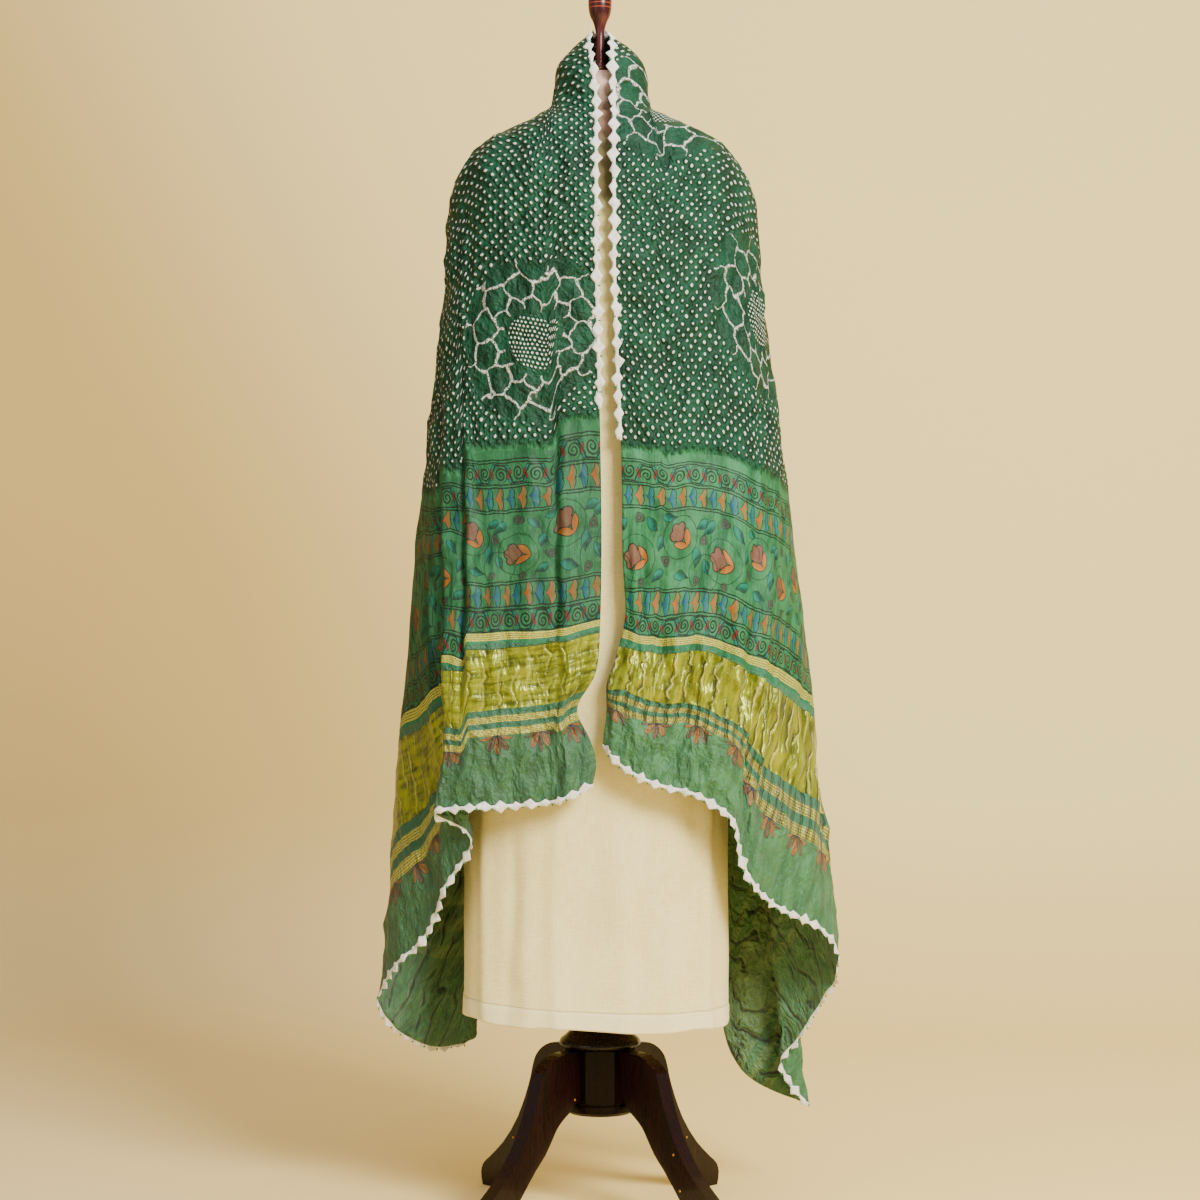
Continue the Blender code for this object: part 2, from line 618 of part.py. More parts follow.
def make_leg(name, degrees):
    """A board with a curved outline that stands out from the hub."""
    outline = np.concatenate([softened(LEG_UPPER, 2), softened(LEG_LOWER, 2), [(LEG_ROOT, LEG_LOWER[-1][1])]])
    outline[:, 1] = np.maximum(outline[:, 1], 0.0)
    count = len(outline)
    points = [(out, side * LEG_THICK / 2, height) for side in (-1, 1) for out, height in outline]
    faces = [tuple(range(count)), tuple(range(count, 2 * count))]
    faces += [(k, (k + 1) % count, count + (k + 1) % count, count + k) for k in range(count)]
    leg = add_object(name, points, faces, "dark_wood")
    leg.rotation_euler.z = math.radians(degrees)
    return leg


def make_hub():
    """An eight-sided post, with a flat to the front and one for each leg, over a round foot."""
    turns = np.linspace(0, math.tau, 48, endpoint=False)
    post = HUB_HALF_WIDTH / np.cos((turns + math.pi / 8) % (math.pi / 4) - math.pi / 8)
    rings = [(np.full(48, radius), height) for radius, height in HUB_FOOT]
    rings += [(post, HUB_FOOT[-1][1] + 0.0016), (post, HUB_TOP)]
    closed_rings("stand_hub", [
        np.stack([radii * np.cos(turns), radii * np.sin(turns), np.full(48, height)], axis=1).tolist()
        for radii, height in rings
    ], "dark_wood")


def make_stand():
    turned("stand_collar", COLLAR_PROFILE, "dark_wood")
    make_hub()
    for name, degrees in LEGS.items():
        make_leg(name, degrees)


def main():
    for thing in list(bpy.data.objects):
        bpy.data.objects.remove(thing)
    make_cloth()
    make_form()
    make_cover()
    make_finial()
    make_stand()


main()
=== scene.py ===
"""The looks of a bandhani cloth hung as a cape over a covered dress form on a wooden stand.

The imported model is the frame. The cloth is described by fabric coordinates: "along" runs down the length from the
centre back to either short end, and "across" runs from the inner long edge to the outer one. Nearly the same drape as
the CAD solid's places the cloth, and creases and puckers are added to it. Its colours are drawn in fabric millimetres.
"""

import math

import bmesh
import bpy
import numpy as np
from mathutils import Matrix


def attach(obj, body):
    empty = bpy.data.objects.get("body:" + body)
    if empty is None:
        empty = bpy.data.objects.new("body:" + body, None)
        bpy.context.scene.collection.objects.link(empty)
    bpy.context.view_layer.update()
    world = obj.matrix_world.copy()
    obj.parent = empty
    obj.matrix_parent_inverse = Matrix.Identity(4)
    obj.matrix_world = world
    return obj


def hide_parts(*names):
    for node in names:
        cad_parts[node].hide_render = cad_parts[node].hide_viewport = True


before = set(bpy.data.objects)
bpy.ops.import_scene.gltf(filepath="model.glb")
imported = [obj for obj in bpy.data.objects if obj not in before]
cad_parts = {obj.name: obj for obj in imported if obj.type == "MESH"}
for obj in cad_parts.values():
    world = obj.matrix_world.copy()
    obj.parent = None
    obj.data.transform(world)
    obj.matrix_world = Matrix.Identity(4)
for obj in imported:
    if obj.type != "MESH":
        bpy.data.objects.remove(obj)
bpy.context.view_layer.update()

# ---------------------------------------------------------------- cloth sizes
CLOTH_LENGTH = 2.10
CLOTH_WIDTH = 0.90
CLOTH_SHEET_THICK = 0.0009
REACH = CLOTH_LENGTH / 2  # along, at a short end
TIP = 0.17  # across, where the ridge ends at the shoulder's tip
FINIAL_WRAP = 0.018  # along, from the centre back to the side of the finial
LACE_REACH = 0.57  # along, where the long edges' lace stops

# What the upper cloth lies over, as oval sections. The ridge is where they are widest.
SHOULDER_COLUMNS = ("height", "half_width", "front", "back")
SHOULDER = (
    (1.488, 0.0150, 0.0125, 0.0135),
    (1.472, 0.0360, 0.0260, 0.0280),
    (1.452, 0.0540, 0.0460, 0.0480),
    (1.425, 0.0585, 0.0570, 0.0570),
    (1.403, 0.0605, 0.0620, 0.0600),
    (1.388, 0.0690, 0.0680, 0.0650),
    (1.375, 0.0980, 0.0780, 0.0740),
    (1.358, 0.1380, 0.0880, 0.0840),
    (1.336, 0.1680, 0.0980, 0.0950),
    (1.310, 0.1860, 0.1080, 0.1060),
    (1.280, 0.1950, 0.1160, 0.1140),
    (1.240, 0.2000, 0.1240, 0.1200),
    (1.200, 0.2030, 0.1300, 0.1240),
)
TIP_HEIGHT = 1.336
RING_HEIGHT = SHOULDER[-1][0]  # the cloth hangs free below this
MIDDLE_HEIGHT = 0.75  # where each hanging line passes its middle point
TIP_X = 0.166  # how far out the tip's front and back lines hang at the ring
GATHER_FROM = 0.223  # the gold border and what is below it, which the front lines gather up

# One row for each hanging line that shapes a fold: where it meets the outline in fabric coordinates, where it
# passes the middle height, and where it ends. "gather" is how much shorter its gold border and end band hang.
LINE_COLUMNS = (
    "along", "across", "middle_x", "middle_y", "end_x", "end_y", "end_height", "gather",
)
RIGHT_LINES = (
    (1.050, 0.000, 0.0220, -0.140, 0.0037, -0.138, 0.594, 0.80),
    (1.050, 0.045, 0.0560, -0.145, 0.0268, -0.151, 0.569, 0.80),
    (1.050, 0.100, 0.0980, -0.146, 0.0632, -0.155, 0.549, 0.80),
    (1.050, 0.185, 0.1580, -0.140, 0.1217, -0.150, 0.532, 0.80),
    (1.050, 0.255, 0.1900, -0.124, 0.1625, -0.136, 0.500, 0.83),
    (1.050, 0.305, 0.2050, -0.112, 0.1729, -0.124, 0.462, 0.91),
    (1.050, 0.365, 0.2200, -0.094, 0.1872, -0.108, 0.420, 1.00),
    (1.050, 0.425, 0.2330, -0.072, 0.2171, -0.084, 0.393, 1.03),
    (1.050, 0.565, 0.2545, -0.024, 0.2930, -0.020, 0.338, 1.08),
    (1.050, 0.610, 0.2575, 0.002, 0.3039, 0.004, 0.307, 1.14),
    (1.050, 0.685, 0.2480, 0.036, 0.2825, 0.040, 0.257, 1.10),
    (1.050, 0.770, 0.2200, 0.062, 0.2522, 0.066, 0.202, 1.04),
    (1.050, 0.815, 0.2030, 0.072, 0.2336, 0.078, 0.174, 1.02),
    (1.050, 0.860, 0.1880, 0.082, 0.2500, 0.080, 0.138, 1.00),
    (1.050, 0.900, 0.1780, 0.090, 0.2730, 0.090, 0.114, 1.00),
    (1.015, 0.900, 0.1740, 0.098, 0.2590, 0.104, 0.116, 1.00),
    (0.915, 0.900, 0.1660, 0.108, 0.1858, 0.116, 0.154, 1.00),
    (0.820, 0.900, 0.1600, 0.116, 0.1603, 0.124, 0.226, 1.00),
    (0.700, 0.900, 0.1850, 0.142, 0.1920, 0.152, 0.360, 1.00),
    (0.600, 0.900, 0.2200, 0.168, 0.2420, 0.190, 0.456, 1.00),
    (0.500, 0.900, 0.1920, 0.176, 0.2000, 0.200, 0.528, 1.00),
    (0.420, 0.900, 0.1540, 0.157, 0.1540, 0.166, 0.574, 1.00),
    (0.340, 0.900, 0.1600, 0.188, 0.1650, 0.222, 0.610, 1.00),
    (0.260, 0.900, 0.1380, 0.194, 0.1350, 0.228, 0.630, 1.00),
    (0.188, 0.900, 0.1150, 0.162, 0.1120, 0.172, 0.641, 1.00),
    (0.100, 0.900, 0.0720, 0.152, 0.0700, 0.162, 0.620, 1.00),
    (0.000, 0.900, 0.0000, 0.150, 0.0000, 0.158, 0.612, 1.00),
)
LEFT_LINES = (
    (1.050, 0.000, -0.0005, -0.140, 0.0097, -0.148, 0.546, 0.82),
    (1.050, 0.060, 0.0500, -0.145, 0.0486, -0.153, 0.528, 0.82),
    (1.050, 0.160, 0.1320, -0.142, 0.1217, -0.151, 0.520, 0.80),
    (1.050, 0.260, 0.1800, -0.128, 0.1991, -0.137, 0.511, 0.80),
    (1.050, 0.340, 0.1960, -0.108, 0.1548, -0.118, 0.479, 0.80),
    (1.050, 0.420, 0.2110, -0.084, 0.1852, -0.100, 0.425, 0.86),
    (1.050, 0.515, 0.2270, -0.052, 0.2116, -0.072, 0.360, 0.97),
    (1.050, 0.645, 0.2400, -0.010, 0.2715, -0.020, 0.291, 1.08),
    (1.050, 0.695, 0.2385, 0.014, 0.2814, 0.010, 0.262, 1.06),
    (1.050, 0.770, 0.2240, 0.042, 0.2572, 0.046, 0.217, 1.02),
    (1.050, 0.850, 0.1970, 0.066, 0.2075, 0.076, 0.191, 1.00),
    (1.050, 0.900, 0.1800, 0.080, 0.1745, 0.092, 0.195, 1.00),
    (0.915, 0.900, 0.1700, 0.098, 0.1620, 0.108, 0.228, 1.00),
    (0.820, 0.900, 0.1640, 0.114, 0.1600, 0.126, 0.290, 1.00),
    (0.700, 0.900, 0.1850, 0.142, 0.1900, 0.154, 0.385, 1.00),
    (0.600, 0.900, 0.2120, 0.168, 0.2320, 0.190, 0.465, 1.00),
    (0.500, 0.900, 0.1880, 0.176, 0.1950, 0.200, 0.532, 1.00),
    (0.420, 0.900, 0.1520, 0.158, 0.1520, 0.168, 0.575, 1.00),
    (0.340, 0.900, 0.1580, 0.186, 0.1620, 0.218, 0.608, 1.00),
    (0.260, 0.900, 0.1360, 0.192, 0.1340, 0.224, 0.628, 1.00),
    (0.188, 0.900, 0.1140, 0.162, 0.1100, 0.172, 0.640, 1.00),
    (0.100, 0.900, 0.0720, 0.152, 0.0700, 0.162, 0.620, 1.00),
    (0.000, 0.900, 0.0000, 0.150, 0.0000, 0.158, 0.612, 1.00),
)
RIGHT, LEFT = 1, -1
LINES = {RIGHT: RIGHT_LINES, LEFT: LEFT_LINES}
INNER_EDGE_X = {RIGHT: 0.0175, LEFT: 0.0050}  # outward from the middle, at the ring
SIDE_WIDTH = {RIGHT: 1.0, LEFT: 0.965}

# Soft upright folds on the front panels: the side, the fold's place and width across, how far it is pushed out at
# its middle, and how far above the end it fades out.
FOLDS = (
    (LEFT, 0.045, 0.016, 0.0050, 0.55),
    (LEFT, 0.085, 0.018, -0.0060, 0.55),
    (LEFT, 0.205, 0.022, 0.0050, 0.50),
    (RIGHT, 0.020, 0.012, 0.0040, 0.45),
    (RIGHT, 0.125, 0.020, -0.0040, 0.50),
    (RIGHT, 0.200, 0.020, 0.0050, 0.55),
)

# ---------------------------------------------------------------- small tools
def columns(rows, names):
    """A table's columns as arrays, by name."""
    return dict(zip(names, np.array(rows, float).T, strict=True))


def smooth_step(value):
    held = np.clip(value, 0.0, 1.0)
    return held * held * (3 - 2 * held)


def through(knots, values, at):
    """A smooth curve through values at rising knots, read at other places."""
    knots = np.asarray(knots, float)
    values = np.asarray(values, float)
    slopes = np.gradient(values, knots)
    low = np.clip(np.searchsorted(knots, at, side="right") - 1, 0, len(knots) - 2)
    span = knots[low + 1] - knots[low]
    part = np.clip((at - knots[low]) / span, 0.0, 1.0)
    square, cube = part**2, part**3
    return (
        (2 * cube - 3 * square + 1) * values[low]
        + (cube - 2 * square + part) * span * slopes[low]
        + (3 * square - 2 * cube) * values[low + 1]
        + (cube - square) * span * slopes[low + 1]
    )


def grid_normals(points):
    """Which way each point of a grid faces."""
    facing = np.cross(np.gradient(points, axis=1), np.gradient(points, axis=0))
    return facing / (np.linalg.norm(facing, axis=2, keepdims=True) + 1e-12)


def spread_out(facing):
    """A grid of directions, each evened out with its four neighbours."""
    spread = np.pad(facing, ((1, 1), (1, 1), (0, 0)), mode="edge")
    facing = 2 * facing + spread[:-2, 1:-1] + spread[2:, 1:-1] + spread[1:-1, :-2] + spread[1:-1, 2:]
    return facing / np.linalg.norm(facing, axis=2, keepdims=True)


def way_along(points):
    """How far down a line each of its points is."""
    return np.concatenate([[0], np.cumsum(np.linalg.norm(np.diff(points, axis=0), axis=1))])


# ---------------------------------------------------------------- how the cloth hangs
def line_of(along, across):
    """The hanging line through a point of the cloth: its number from 0 at the front edge to 3 at the centre
    back, how far down the line the point is, and how long the line is."""
    along = np.asarray(along, float)
    across = np.asarray(across, float)
    tip_along = TIP + FINIAL_WRAP
    from_ridge = np.maximum(along - FINIAL_WRAP, 0.0)
    out, down = along - tip_along, across - TIP
    turn = np.clip(np.arctan2(down, out), 1e-6, math.pi / 2 - 1e-6)
    front = (across <= TIP) & (along >= across + FINIAL_WRAP)
    back = (along <= tip_along) & (across > from_ridge - 1e-9) & ~front
    line = np.where(front, across / TIP, np.where(back, 3 - along / tip_along, 1 + turn / (math.pi / 2)))
    far = np.where(front, along - across - FINIAL_WRAP, np.where(back, across - from_ridge, np.hypot(out, down)))
    fan_length = np.minimum((REACH - tip_along) / np.cos(turn), (CLOTH_WIDTH - TIP) / np.sin(turn))
    length = np.where(
        front, REACH - across - FINIAL_WRAP, np.where(back, CLOTH_WIDTH - from_ridge, fan_length)
    )
    return line, far, length


def outline_run(line):
    """How far along the outline a hanging line ends: over the short end, then along the outer edge."""
    tip_along = TIP + FINIAL_WRAP
    turn = np.clip((line - 1) * math.pi / 2, 1e-6, math.pi / 2 - 1e-6)
    on_end = TIP + (REACH - tip_along) * np.tan(turn)
    on_edge = CLOTH_WIDTH + REACH - tip_along - (CLOTH_WIDTH - TIP) / np.tan(turn)
    fan = np.where(on_end < CLOTH_WIDTH, on_end, on_edge)
    return np.where(line <= 1, line * TIP, np.where(line >= 2, CLOTH_WIDTH + REACH - (3 - line) * tip_along, fan))


def hanging_net(side, line_count=601, step_count=81):
    """Where each hanging line goes: its points at even steps, from the ridge to the outline."""
    body = columns(SHOULDER, SHOULDER_COLUMNS)
    rising = body["height"][::-1]

    def section(name, height):
        return through(rising, body[name][::-1], height)

    # The ridge runs down the sections' widest points. It is read by the share of its length.
    ridge_heights = np.linspace(rising[-1], TIP_HEIGHT, 60)
    ridge_x = section("half_width", ridge_heights)
    ridge_way = np.concatenate([[0], np.cumsum(np.hypot(np.diff(ridge_x), np.diff(ridge_heights)))])

    def ridge_height(share):
        return np.interp(share * ridge_way[-1], ridge_way, ridge_heights)

    rows = columns(LINES[side], LINE_COLUMNS)
    at_rows = rows["across"] + REACH - rows["along"]
    lines = np.linspace(0, 3, line_count)
    ends = {name: through(at_rows, rows[name], outline_run(lines)) for name in LINE_COLUMNS[2:]}
    tip_along = TIP + FINIAL_WRAP
    net = np.zeros((line_count, step_count, 3))
    for index, line in enumerate(lines):
        if line <= 1:
            start_share, ridge_turn = line, 0.0
            ring_x = INNER_EDGE_X[side] + (TIP_X - INNER_EDGE_X[side]) * line
            sign = -1
        elif line >= 2:
            along = (3 - line) * tip_along
            start_share = max(along - FINIAL_WRAP, 0.0) / TIP
            ridge_turn = math.pi / 2 * max(1 - along / FINIAL_WRAP, 0.0)
            ring_x = TIP_X * along / tip_along
            sign = 1
        else:
            start_share, ridge_turn, ring_x, sign = 1.0, 0.0, TIP_X, -1
        top = ridge_height(start_share)
        heights = top + (RING_HEIGHT - top) * np.linspace(0, 1, 40) ** 1.6
        width = section("half_width", heights)
        start_x = width[0] * math.cos(ridge_turn)
        x_way = start_x + (ring_x - start_x) * smooth_step((top - heights) / 0.10)
        turn = sign * np.arccos(np.clip(x_way / width, -1.0, 1.0))
        if 1 < line < 2:
            back_turn = -turn
            turn = turn + (back_turn - turn) * (line - 1)
        depth = np.where(turn < 0, section("front", heights), section("back", heights))
        upper = np.stack([width * np.cos(turn), depth * np.sin(turn), heights], axis=1)
        upper[:, 0] *= SIDE_WIDTH[side]
        # Below the ring the line hangs through its middle point to its end.
        end_height = ends["end_height"][index]
        low_heights = np.linspace(RING_HEIGHT, end_height, 61)[1:]
        knots = (-RING_HEIGHT, -MIDDLE_HEIGHT, -end_height)
        plan = np.stack([
            through(knots, (upper[-1, axis], ends["middle_" + name][index], ends["end_" + name][index]), -low_heights)
            for axis, name in enumerate("xy")
        ], axis=1)
        lower = np.concatenate([plan, low_heights[:, None]], axis=1)
        path = np.concatenate([upper, lower])
        way = way_along(path)
        steps = np.linspace(0, way[-1], step_count)
        for axis in range(3):
            net[index, :, axis] = np.interp(steps, way, path[:, axis])
    net[:, :, 0] *= side
    return net, lines, ends["gather"]


NETS = {side: hanging_net(side) for side in (RIGHT, LEFT)}


def draped(side, along, across):
    """Where points of the cloth are, from their fabric coordinates."""
    net, lines, gathers = NETS[side]
    line, far, length = line_of(along, across)
    share = np.clip(far / length, 0.0, 1.0)
    gather = np.interp(line, lines, gathers)
    loose = np.clip(1 - GATHER_FROM / (REACH - TIP - FINIAL_WRAP), 0.0, 1.0)
    upper_scale = (1 - (1 - loose) * gather) / loose
    share = np.where(share < loose, share * upper_scale, 1 - (1 - share) * gather)
    row = np.clip(line / 3 * (len(net) - 1), 0, len(net) - 1.001)
    column = np.clip(share * (net.shape[1] - 1), 0, net.shape[1] - 1.001)
    row_low, column_low = row.astype(int), column.astype(int)
    row_part, column_part = (row - row_low)[..., None], (column - column_low)[..., None]
    near = net[row_low, column_low] * (1 - column_part) + net[row_low, column_low + 1] * column_part
    next_near = (
        net[row_low + 1, column_low] * (1 - column_part) + net[row_low + 1, column_low + 1] * column_part
    )
    place = near * (1 - row_part) + next_near * row_part
    for fold_side, fold_across, width, push, fades in FOLDS:
        if fold_side == side:
            shape = np.exp(-(((across - fold_across) / width) ** 2))
            growth = smooth_step(1 - (REACH - along) / fades)
            place[..., 1] -= push * shape * growth
    return place


# ---------------------------------------------------------------- creases and puckers
DYE_EDGE = 0.484  # from the short end: light green below this, dyed dark and tied above it
PAINTED_FROM = 0.249  # painted borders from here up to the dye edge, woven gold borders below

# The borders don't hang level: for each place across (mm), how far from the short end (mm) the drape brings each of
# these levels of the weave.
SLIP_LEVELS = (0, 85, 135, 223, 249, 305, 407, 484, 700, 1050)
SLIP = {
    RIGHT: (
        (4, (0, 73, 96, 168, 198, 265, 371, 448, 690, 1050)),
        (30, (0, 78, 115, 180, 205, 276, 378, 451, 690, 1050)),
        (60, (0, 85, 120, 195, 220, 286, 385, 454, 692, 1050)),
        (100, (0, 96, 126, 207, 232, 292, 390, 460, 695, 1050)),
        (130, (0, 105, 134, 218, 240, 293, 388, 458, 695, 1050)),
        (160, (0, 105, 133, 220, 237, 293, 387, 455, 695, 1050)),
        (190, (0, 101, 130, 218, 236, 290, 383, 456, 695, 1050)),
        (220, (0, 104, 132, 218, 237, 292, 385, 459, 695, 1050)),
        (260, (0, 95, 133, 222, 244, 298, 392, 465, 697, 1050)),
        (340, (0, 85, 135, 223, 249, 305, 400, 474, 700, 1050)),
        (450, SLIP_LEVELS),
    ),
    LEFT: (
        (55, (0, 102, 147, 238, 258, 315, 419, 506, 710, 1050)),
        (65, (0, 111, 149, 244, 258, 320, 404, 478, 700, 1050)),
        (100, (0, 110, 148, 240, 256, 317, 399, 476, 700, 1050)),
        (130, (0, 108, 147, 238, 256, 312, 394, 471, 700, 1050)),
        (160, (0, 109, 148, 236, 255, 310, 394, 470, 700, 1050)),
        (201, (0, 108, 146, 238, 256, 314, 402, 478, 700, 1050)),
        (209, (0, 86, 120, 212, 226, 286, 374, 450, 700, 1050)),
        (254, (0, 96, 132, 226, 242, 302, 396, 472, 700, 1050)),
        (262, (0, 76, 114, 204, 222, 280, 374, 450, 700, 1050)),
        (340, SLIP_LEVELS),
    ),
}

# Main creases: the side, where each one's middle is along and across, which way it runs (degrees from "along"), its
# length and width, and how far it stands out (or in, if negative).
CREASES = (
    (LEFT, 0.66, 0.050, 1, 0.420, 0.0060, 0.0055),
    (LEFT, 0.67, 0.062, 1, 0.420, 0.0040, -0.0065),
    (LEFT, 0.88, 0.045, -4, 0.120, 0.0070, 0.0040),
    (LEFT, 0.86, 0.062, 2, 0.110, 0.0060, -0.0040),
    (LEFT, 0.74, 0.195, 1, 0.460, 0.0080, 0.0065),
    (LEFT, 0.74, 0.209, 1, 0.460, 0.0055, -0.0085),
    (LEFT, 0.74, 0.247, 1, 0.460, 0.0090, 0.0060),
    (LEFT, 0.74, 0.263, 1, 0.460, 0.0065, -0.0080),
    (LEFT, 0.80, 0.312, 2, 0.400, 0.0100, 0.0070),
    (LEFT, 0.80, 0.334, 2, 0.400, 0.0080, -0.0070),
    (LEFT, 0.80, 0.140, 4, 0.300, 0.0120, -0.0040),
    (LEFT, 0.72, 0.100, 3, 0.340, 0.0100, 0.0040),
    (LEFT, 0.84, 0.160, -6, 0.080, 0.0050, 0.0030),
    (LEFT, 0.85, 0.118, 5, 0.070, 0.0050, -0.0030),
    (LEFT, 0.99, 0.095, -28, 0.060, 0.0045, -0.0035),
    (LEFT, 1.00, 0.150, 20, 0.070, 0.0050, 0.0030),
    (LEFT, 0.99, 0.195, 12, 0.080, 0.0060, -0.0035),
    (LEFT, 0.97, 0.330, 10, 0.110, 0.0070, 0.0040),
    (LEFT, 0.95, 0.420, 14, 0.160, 0.0080, -0.0050),
    (LEFT, 0.93, 0.500, 18, 0.180, 0.0080, 0.0050),
    (LEFT, 0.40, 0.120, 34, 0.120, 0.0080, -0.0030),
    (LEFT, 0.28, 0.200, -30, 0.140, 0.0090, -0.0035),
    (RIGHT, 0.75, 0.018, 0, 0.240, 0.0060, 0.0040),
    (RIGHT, 0.75, 0.032, 2, 0.220, 0.0060, -0.0040),
    (RIGHT, 0.72, 0.128, -2, 0.160, 0.0080, -0.0030),
    (RIGHT, 0.76, 0.190, 6, 0.300, 0.0100, 0.0055),
    (RIGHT, 0.74, 0.225, 5, 0.340, 0.0100, -0.0050),
    (RIGHT, 0.78, 0.262, 4, 0.300, 0.0100, 0.0055),
    (RIGHT, 0.70, 0.075, 3, 0.260, 0.0090, 0.0030),
    (RIGHT, 0.70, 0.155, -3, 0.300, 0.0100, -0.0035),
    (RIGHT, 0.84, 0.075, -8, 0.075, 0.0055, -0.0060),
    (RIGHT, 0.845, 0.098, 6, 0.080, 0.0060, 0.0060),
    (RIGHT, 0.85, 0.122, -14, 0.085, 0.0050, -0.0065),
    (RIGHT, 0.845, 0.150, 10, 0.080, 0.0060, 0.0055),
    (RIGHT, 0.85, 0.172, -6, 0.090, 0.0055, -0.0060),
    (RIGHT, 0.85, 0.205, 8, 0.090, 0.0065, 0.0055),
    (RIGHT, 0.85, 0.232, -10, 0.090, 0.0055, -0.0060),
    (RIGHT, 0.86, 0.262, 5, 0.090, 0.0070, 0.0055),
    (RIGHT, 0.86, 0.292, -8, 0.090, 0.0060, -0.0060),
    (RIGHT, 0.99, 0.060, 12, 0.080, 0.0060, 0.0040),
    (RIGHT, 0.99, 0.120, -8, 0.090, 0.0070, -0.0040),
    (RIGHT, 0.98, 0.190, 10, 0.110, 0.0080, 0.0045),
    (RIGHT, 0.97, 0.280, 16, 0.120, 0.0090, -0.0045),
    (RIGHT, 0.95, 0.400, 24, 0.160, 0.0090, 0.0050),
    (RIGHT, 0.93, 0.520, 30, 0.180, 0.0090, -0.0050),
    (RIGHT, 0.30, 0.080, 28, 0.140, 0.0080, -0.0030),
    (RIGHT, 0.42, 0.160, -24, 0.160, 0.0090, -0.0035),
)

# Where the front edges curve sideways: the side, how far from the short end, over what length and width, how far.
FRILLS = (
    (LEFT, 0.118, 0.040, 0.050, -0.023), (LEFT, 0.030, 0.025, 0.040, 0.004), (RIGHT, 0.220, 0.065, 0.045, 0.009),
    (RIGHT, 0.100, 0.030, 0.040, -0.004),
)

# Puckers all over: how far apart they are along and across, how high they stand in each part of the cloth, and
# the seed of their chance places.
PUCKER_COLUMNS = ("apart_along", "apart_across", "dyed", "painted", "gold", "end", "seed")
PUCKERS = (
    (0.090, 0.050, 0.0048, 0.0042, 0.0034, 0.0062, 3),
    (0.034, 0.024, 0.0044, 0.0018, 0.0026, 0.0044, 7),
    (0.017, 0.014, 0.0028, 0.0005, 0.0009, 0.0016, 11),
    (0.120, 0.019, 0.0006, 0.0010, 0.0044, 0.0036, 19),
)
GATHERED = {RIGHT: 2.0, LEFT: 0.9}  # how strongly each end's gold border is puckered


def chance(x, y, seed):
    """Smooth chance values from 0 to 1, a new one at each whole step of x and y."""
    table = np.random.default_rng(seed).random((61, 67))
    low_x, low_y = np.floor(x).astype(int), np.floor(y).astype(int)
    part_x, part_y = smooth_step(x - low_x), smooth_step(y - low_y)

    def at(step_x, step_y):
        return table[(low_x + step_x) % 61, (low_y + step_y) % 67]

    near = at(0, 0) * (1 - part_x) + at(1, 0) * part_x
    return near * (1 - part_y) + (at(0, 1) * (1 - part_x) + at(1, 1) * part_x) * part_y


def weave_level(side, from_end, across):
    """How far from the short end, in the weave, the point is that hangs at this place of the drape."""
    rows = SLIP[side]
    read = np.stack([np.interp(from_end * 1000, row[1], SLIP_LEVELS) for row in rows])
    at = np.interp(across * 1000, [row[0] for row in rows], np.arange(len(rows)))
    low = np.clip(at.astype(int), 0, len(rows) - 2)
    near = np.take_along_axis(read, low[None], 0)[0]
    after = np.take_along_axis(read, low[None] + 1, 0)[0]
    return (near + (after - near) * (at - low)) / 1000


def relief(side, along, across):
    """How far the creases and puckers stand out from the draped cloth."""
    from_end = weave_level(side, REACH - along, across)
    dyed = smooth_step((from_end - DYE_EDGE + 0.03) / 0.06)
    below_gold = smooth_step((0.110 - from_end) / 0.05)
    woven = smooth_step((PAINTED_FROM + 0.010 - from_end) / 0.03)
    shares = {
        "dyed": dyed, "painted": (1 - dyed) * (1 - woven), "gold": woven * (1 - below_gold) * GATHERED[side],
        "end": below_gold,
    }
    table = columns(PUCKERS, PUCKER_COLUMNS)
    out = np.zeros(np.shape(along))
    for index, seed in enumerate(table["seed"].astype(int)):
        x = side * along / table["apart_along"][index]
        y = across / table["apart_across"][index]
        slant = 0.7 * chance(x * 0.4, y * 0.4, seed + 1)
        ridges = 1 - np.abs(2 * chance(x + slant, y - slant, seed) - 1)
        height = sum(share * table[name][index] for name, share in shares.items())
        out += height * (ridges - 0.6)
    for crease_side, mid_along, mid_across, heading, length, width, depth in CREASES:
        if crease_side != side:
            continue
        turn = math.radians(heading)
        sway = 0.35 * width * np.sin(along * 70 + mid_across * 90)
        run = (along - mid_along) * math.cos(turn) + (across - mid_across) * math.sin(turn)
        off = (across - mid_across) * math.cos(turn) - (along - mid_along) * math.sin(turn) + sway
        fade = smooth_step(1.25 - np.abs(run) / (length / 2) * 1.25)
        out += depth * fade * np.exp(-((off / width) ** 2))
    # The ridge that lies on the form, the seam with the lace and the stretch round the finial stay calmer.
    calm = 0.35 + 0.65 * smooth_step((along - 0.02) / 0.10)
    return out * calm * (0.4 + 0.6 * smooth_step(across / 0.02))


def surface(run, across):
    """Points of the creased cloth on a grid of fabric coordinates, and the way its right side faces."""
    along_grid, across_grid = np.meshgrid(run, across)
    points = np.zeros((*along_grid.shape, 3))
    heights = np.zeros(along_grid.shape)
    for side in (RIGHT, LEFT):
        held = run >= 0 if side == RIGHT else run < 0
        points[:, held] = draped(side, np.abs(along_grid[:, held]), across_grid[:, held])
        heights[:, held] = relief(side, np.abs(along_grid[:, held]), across_grid[:, held])
        for frill_side, from_end, reach, width, push in FRILLS:
            if frill_side == side:
                shape = np.exp(-(((REACH - np.abs(along_grid[:, held]) - from_end) / reach) ** 2))
                points[:, held, 0] += push * shape * np.exp(-((across_grid[:, held] / width) ** 2))
    facing = grid_normals(points)
    for _ in range(2):
        facing = spread_out(facing)
    return points + facing * heights[..., None], facing


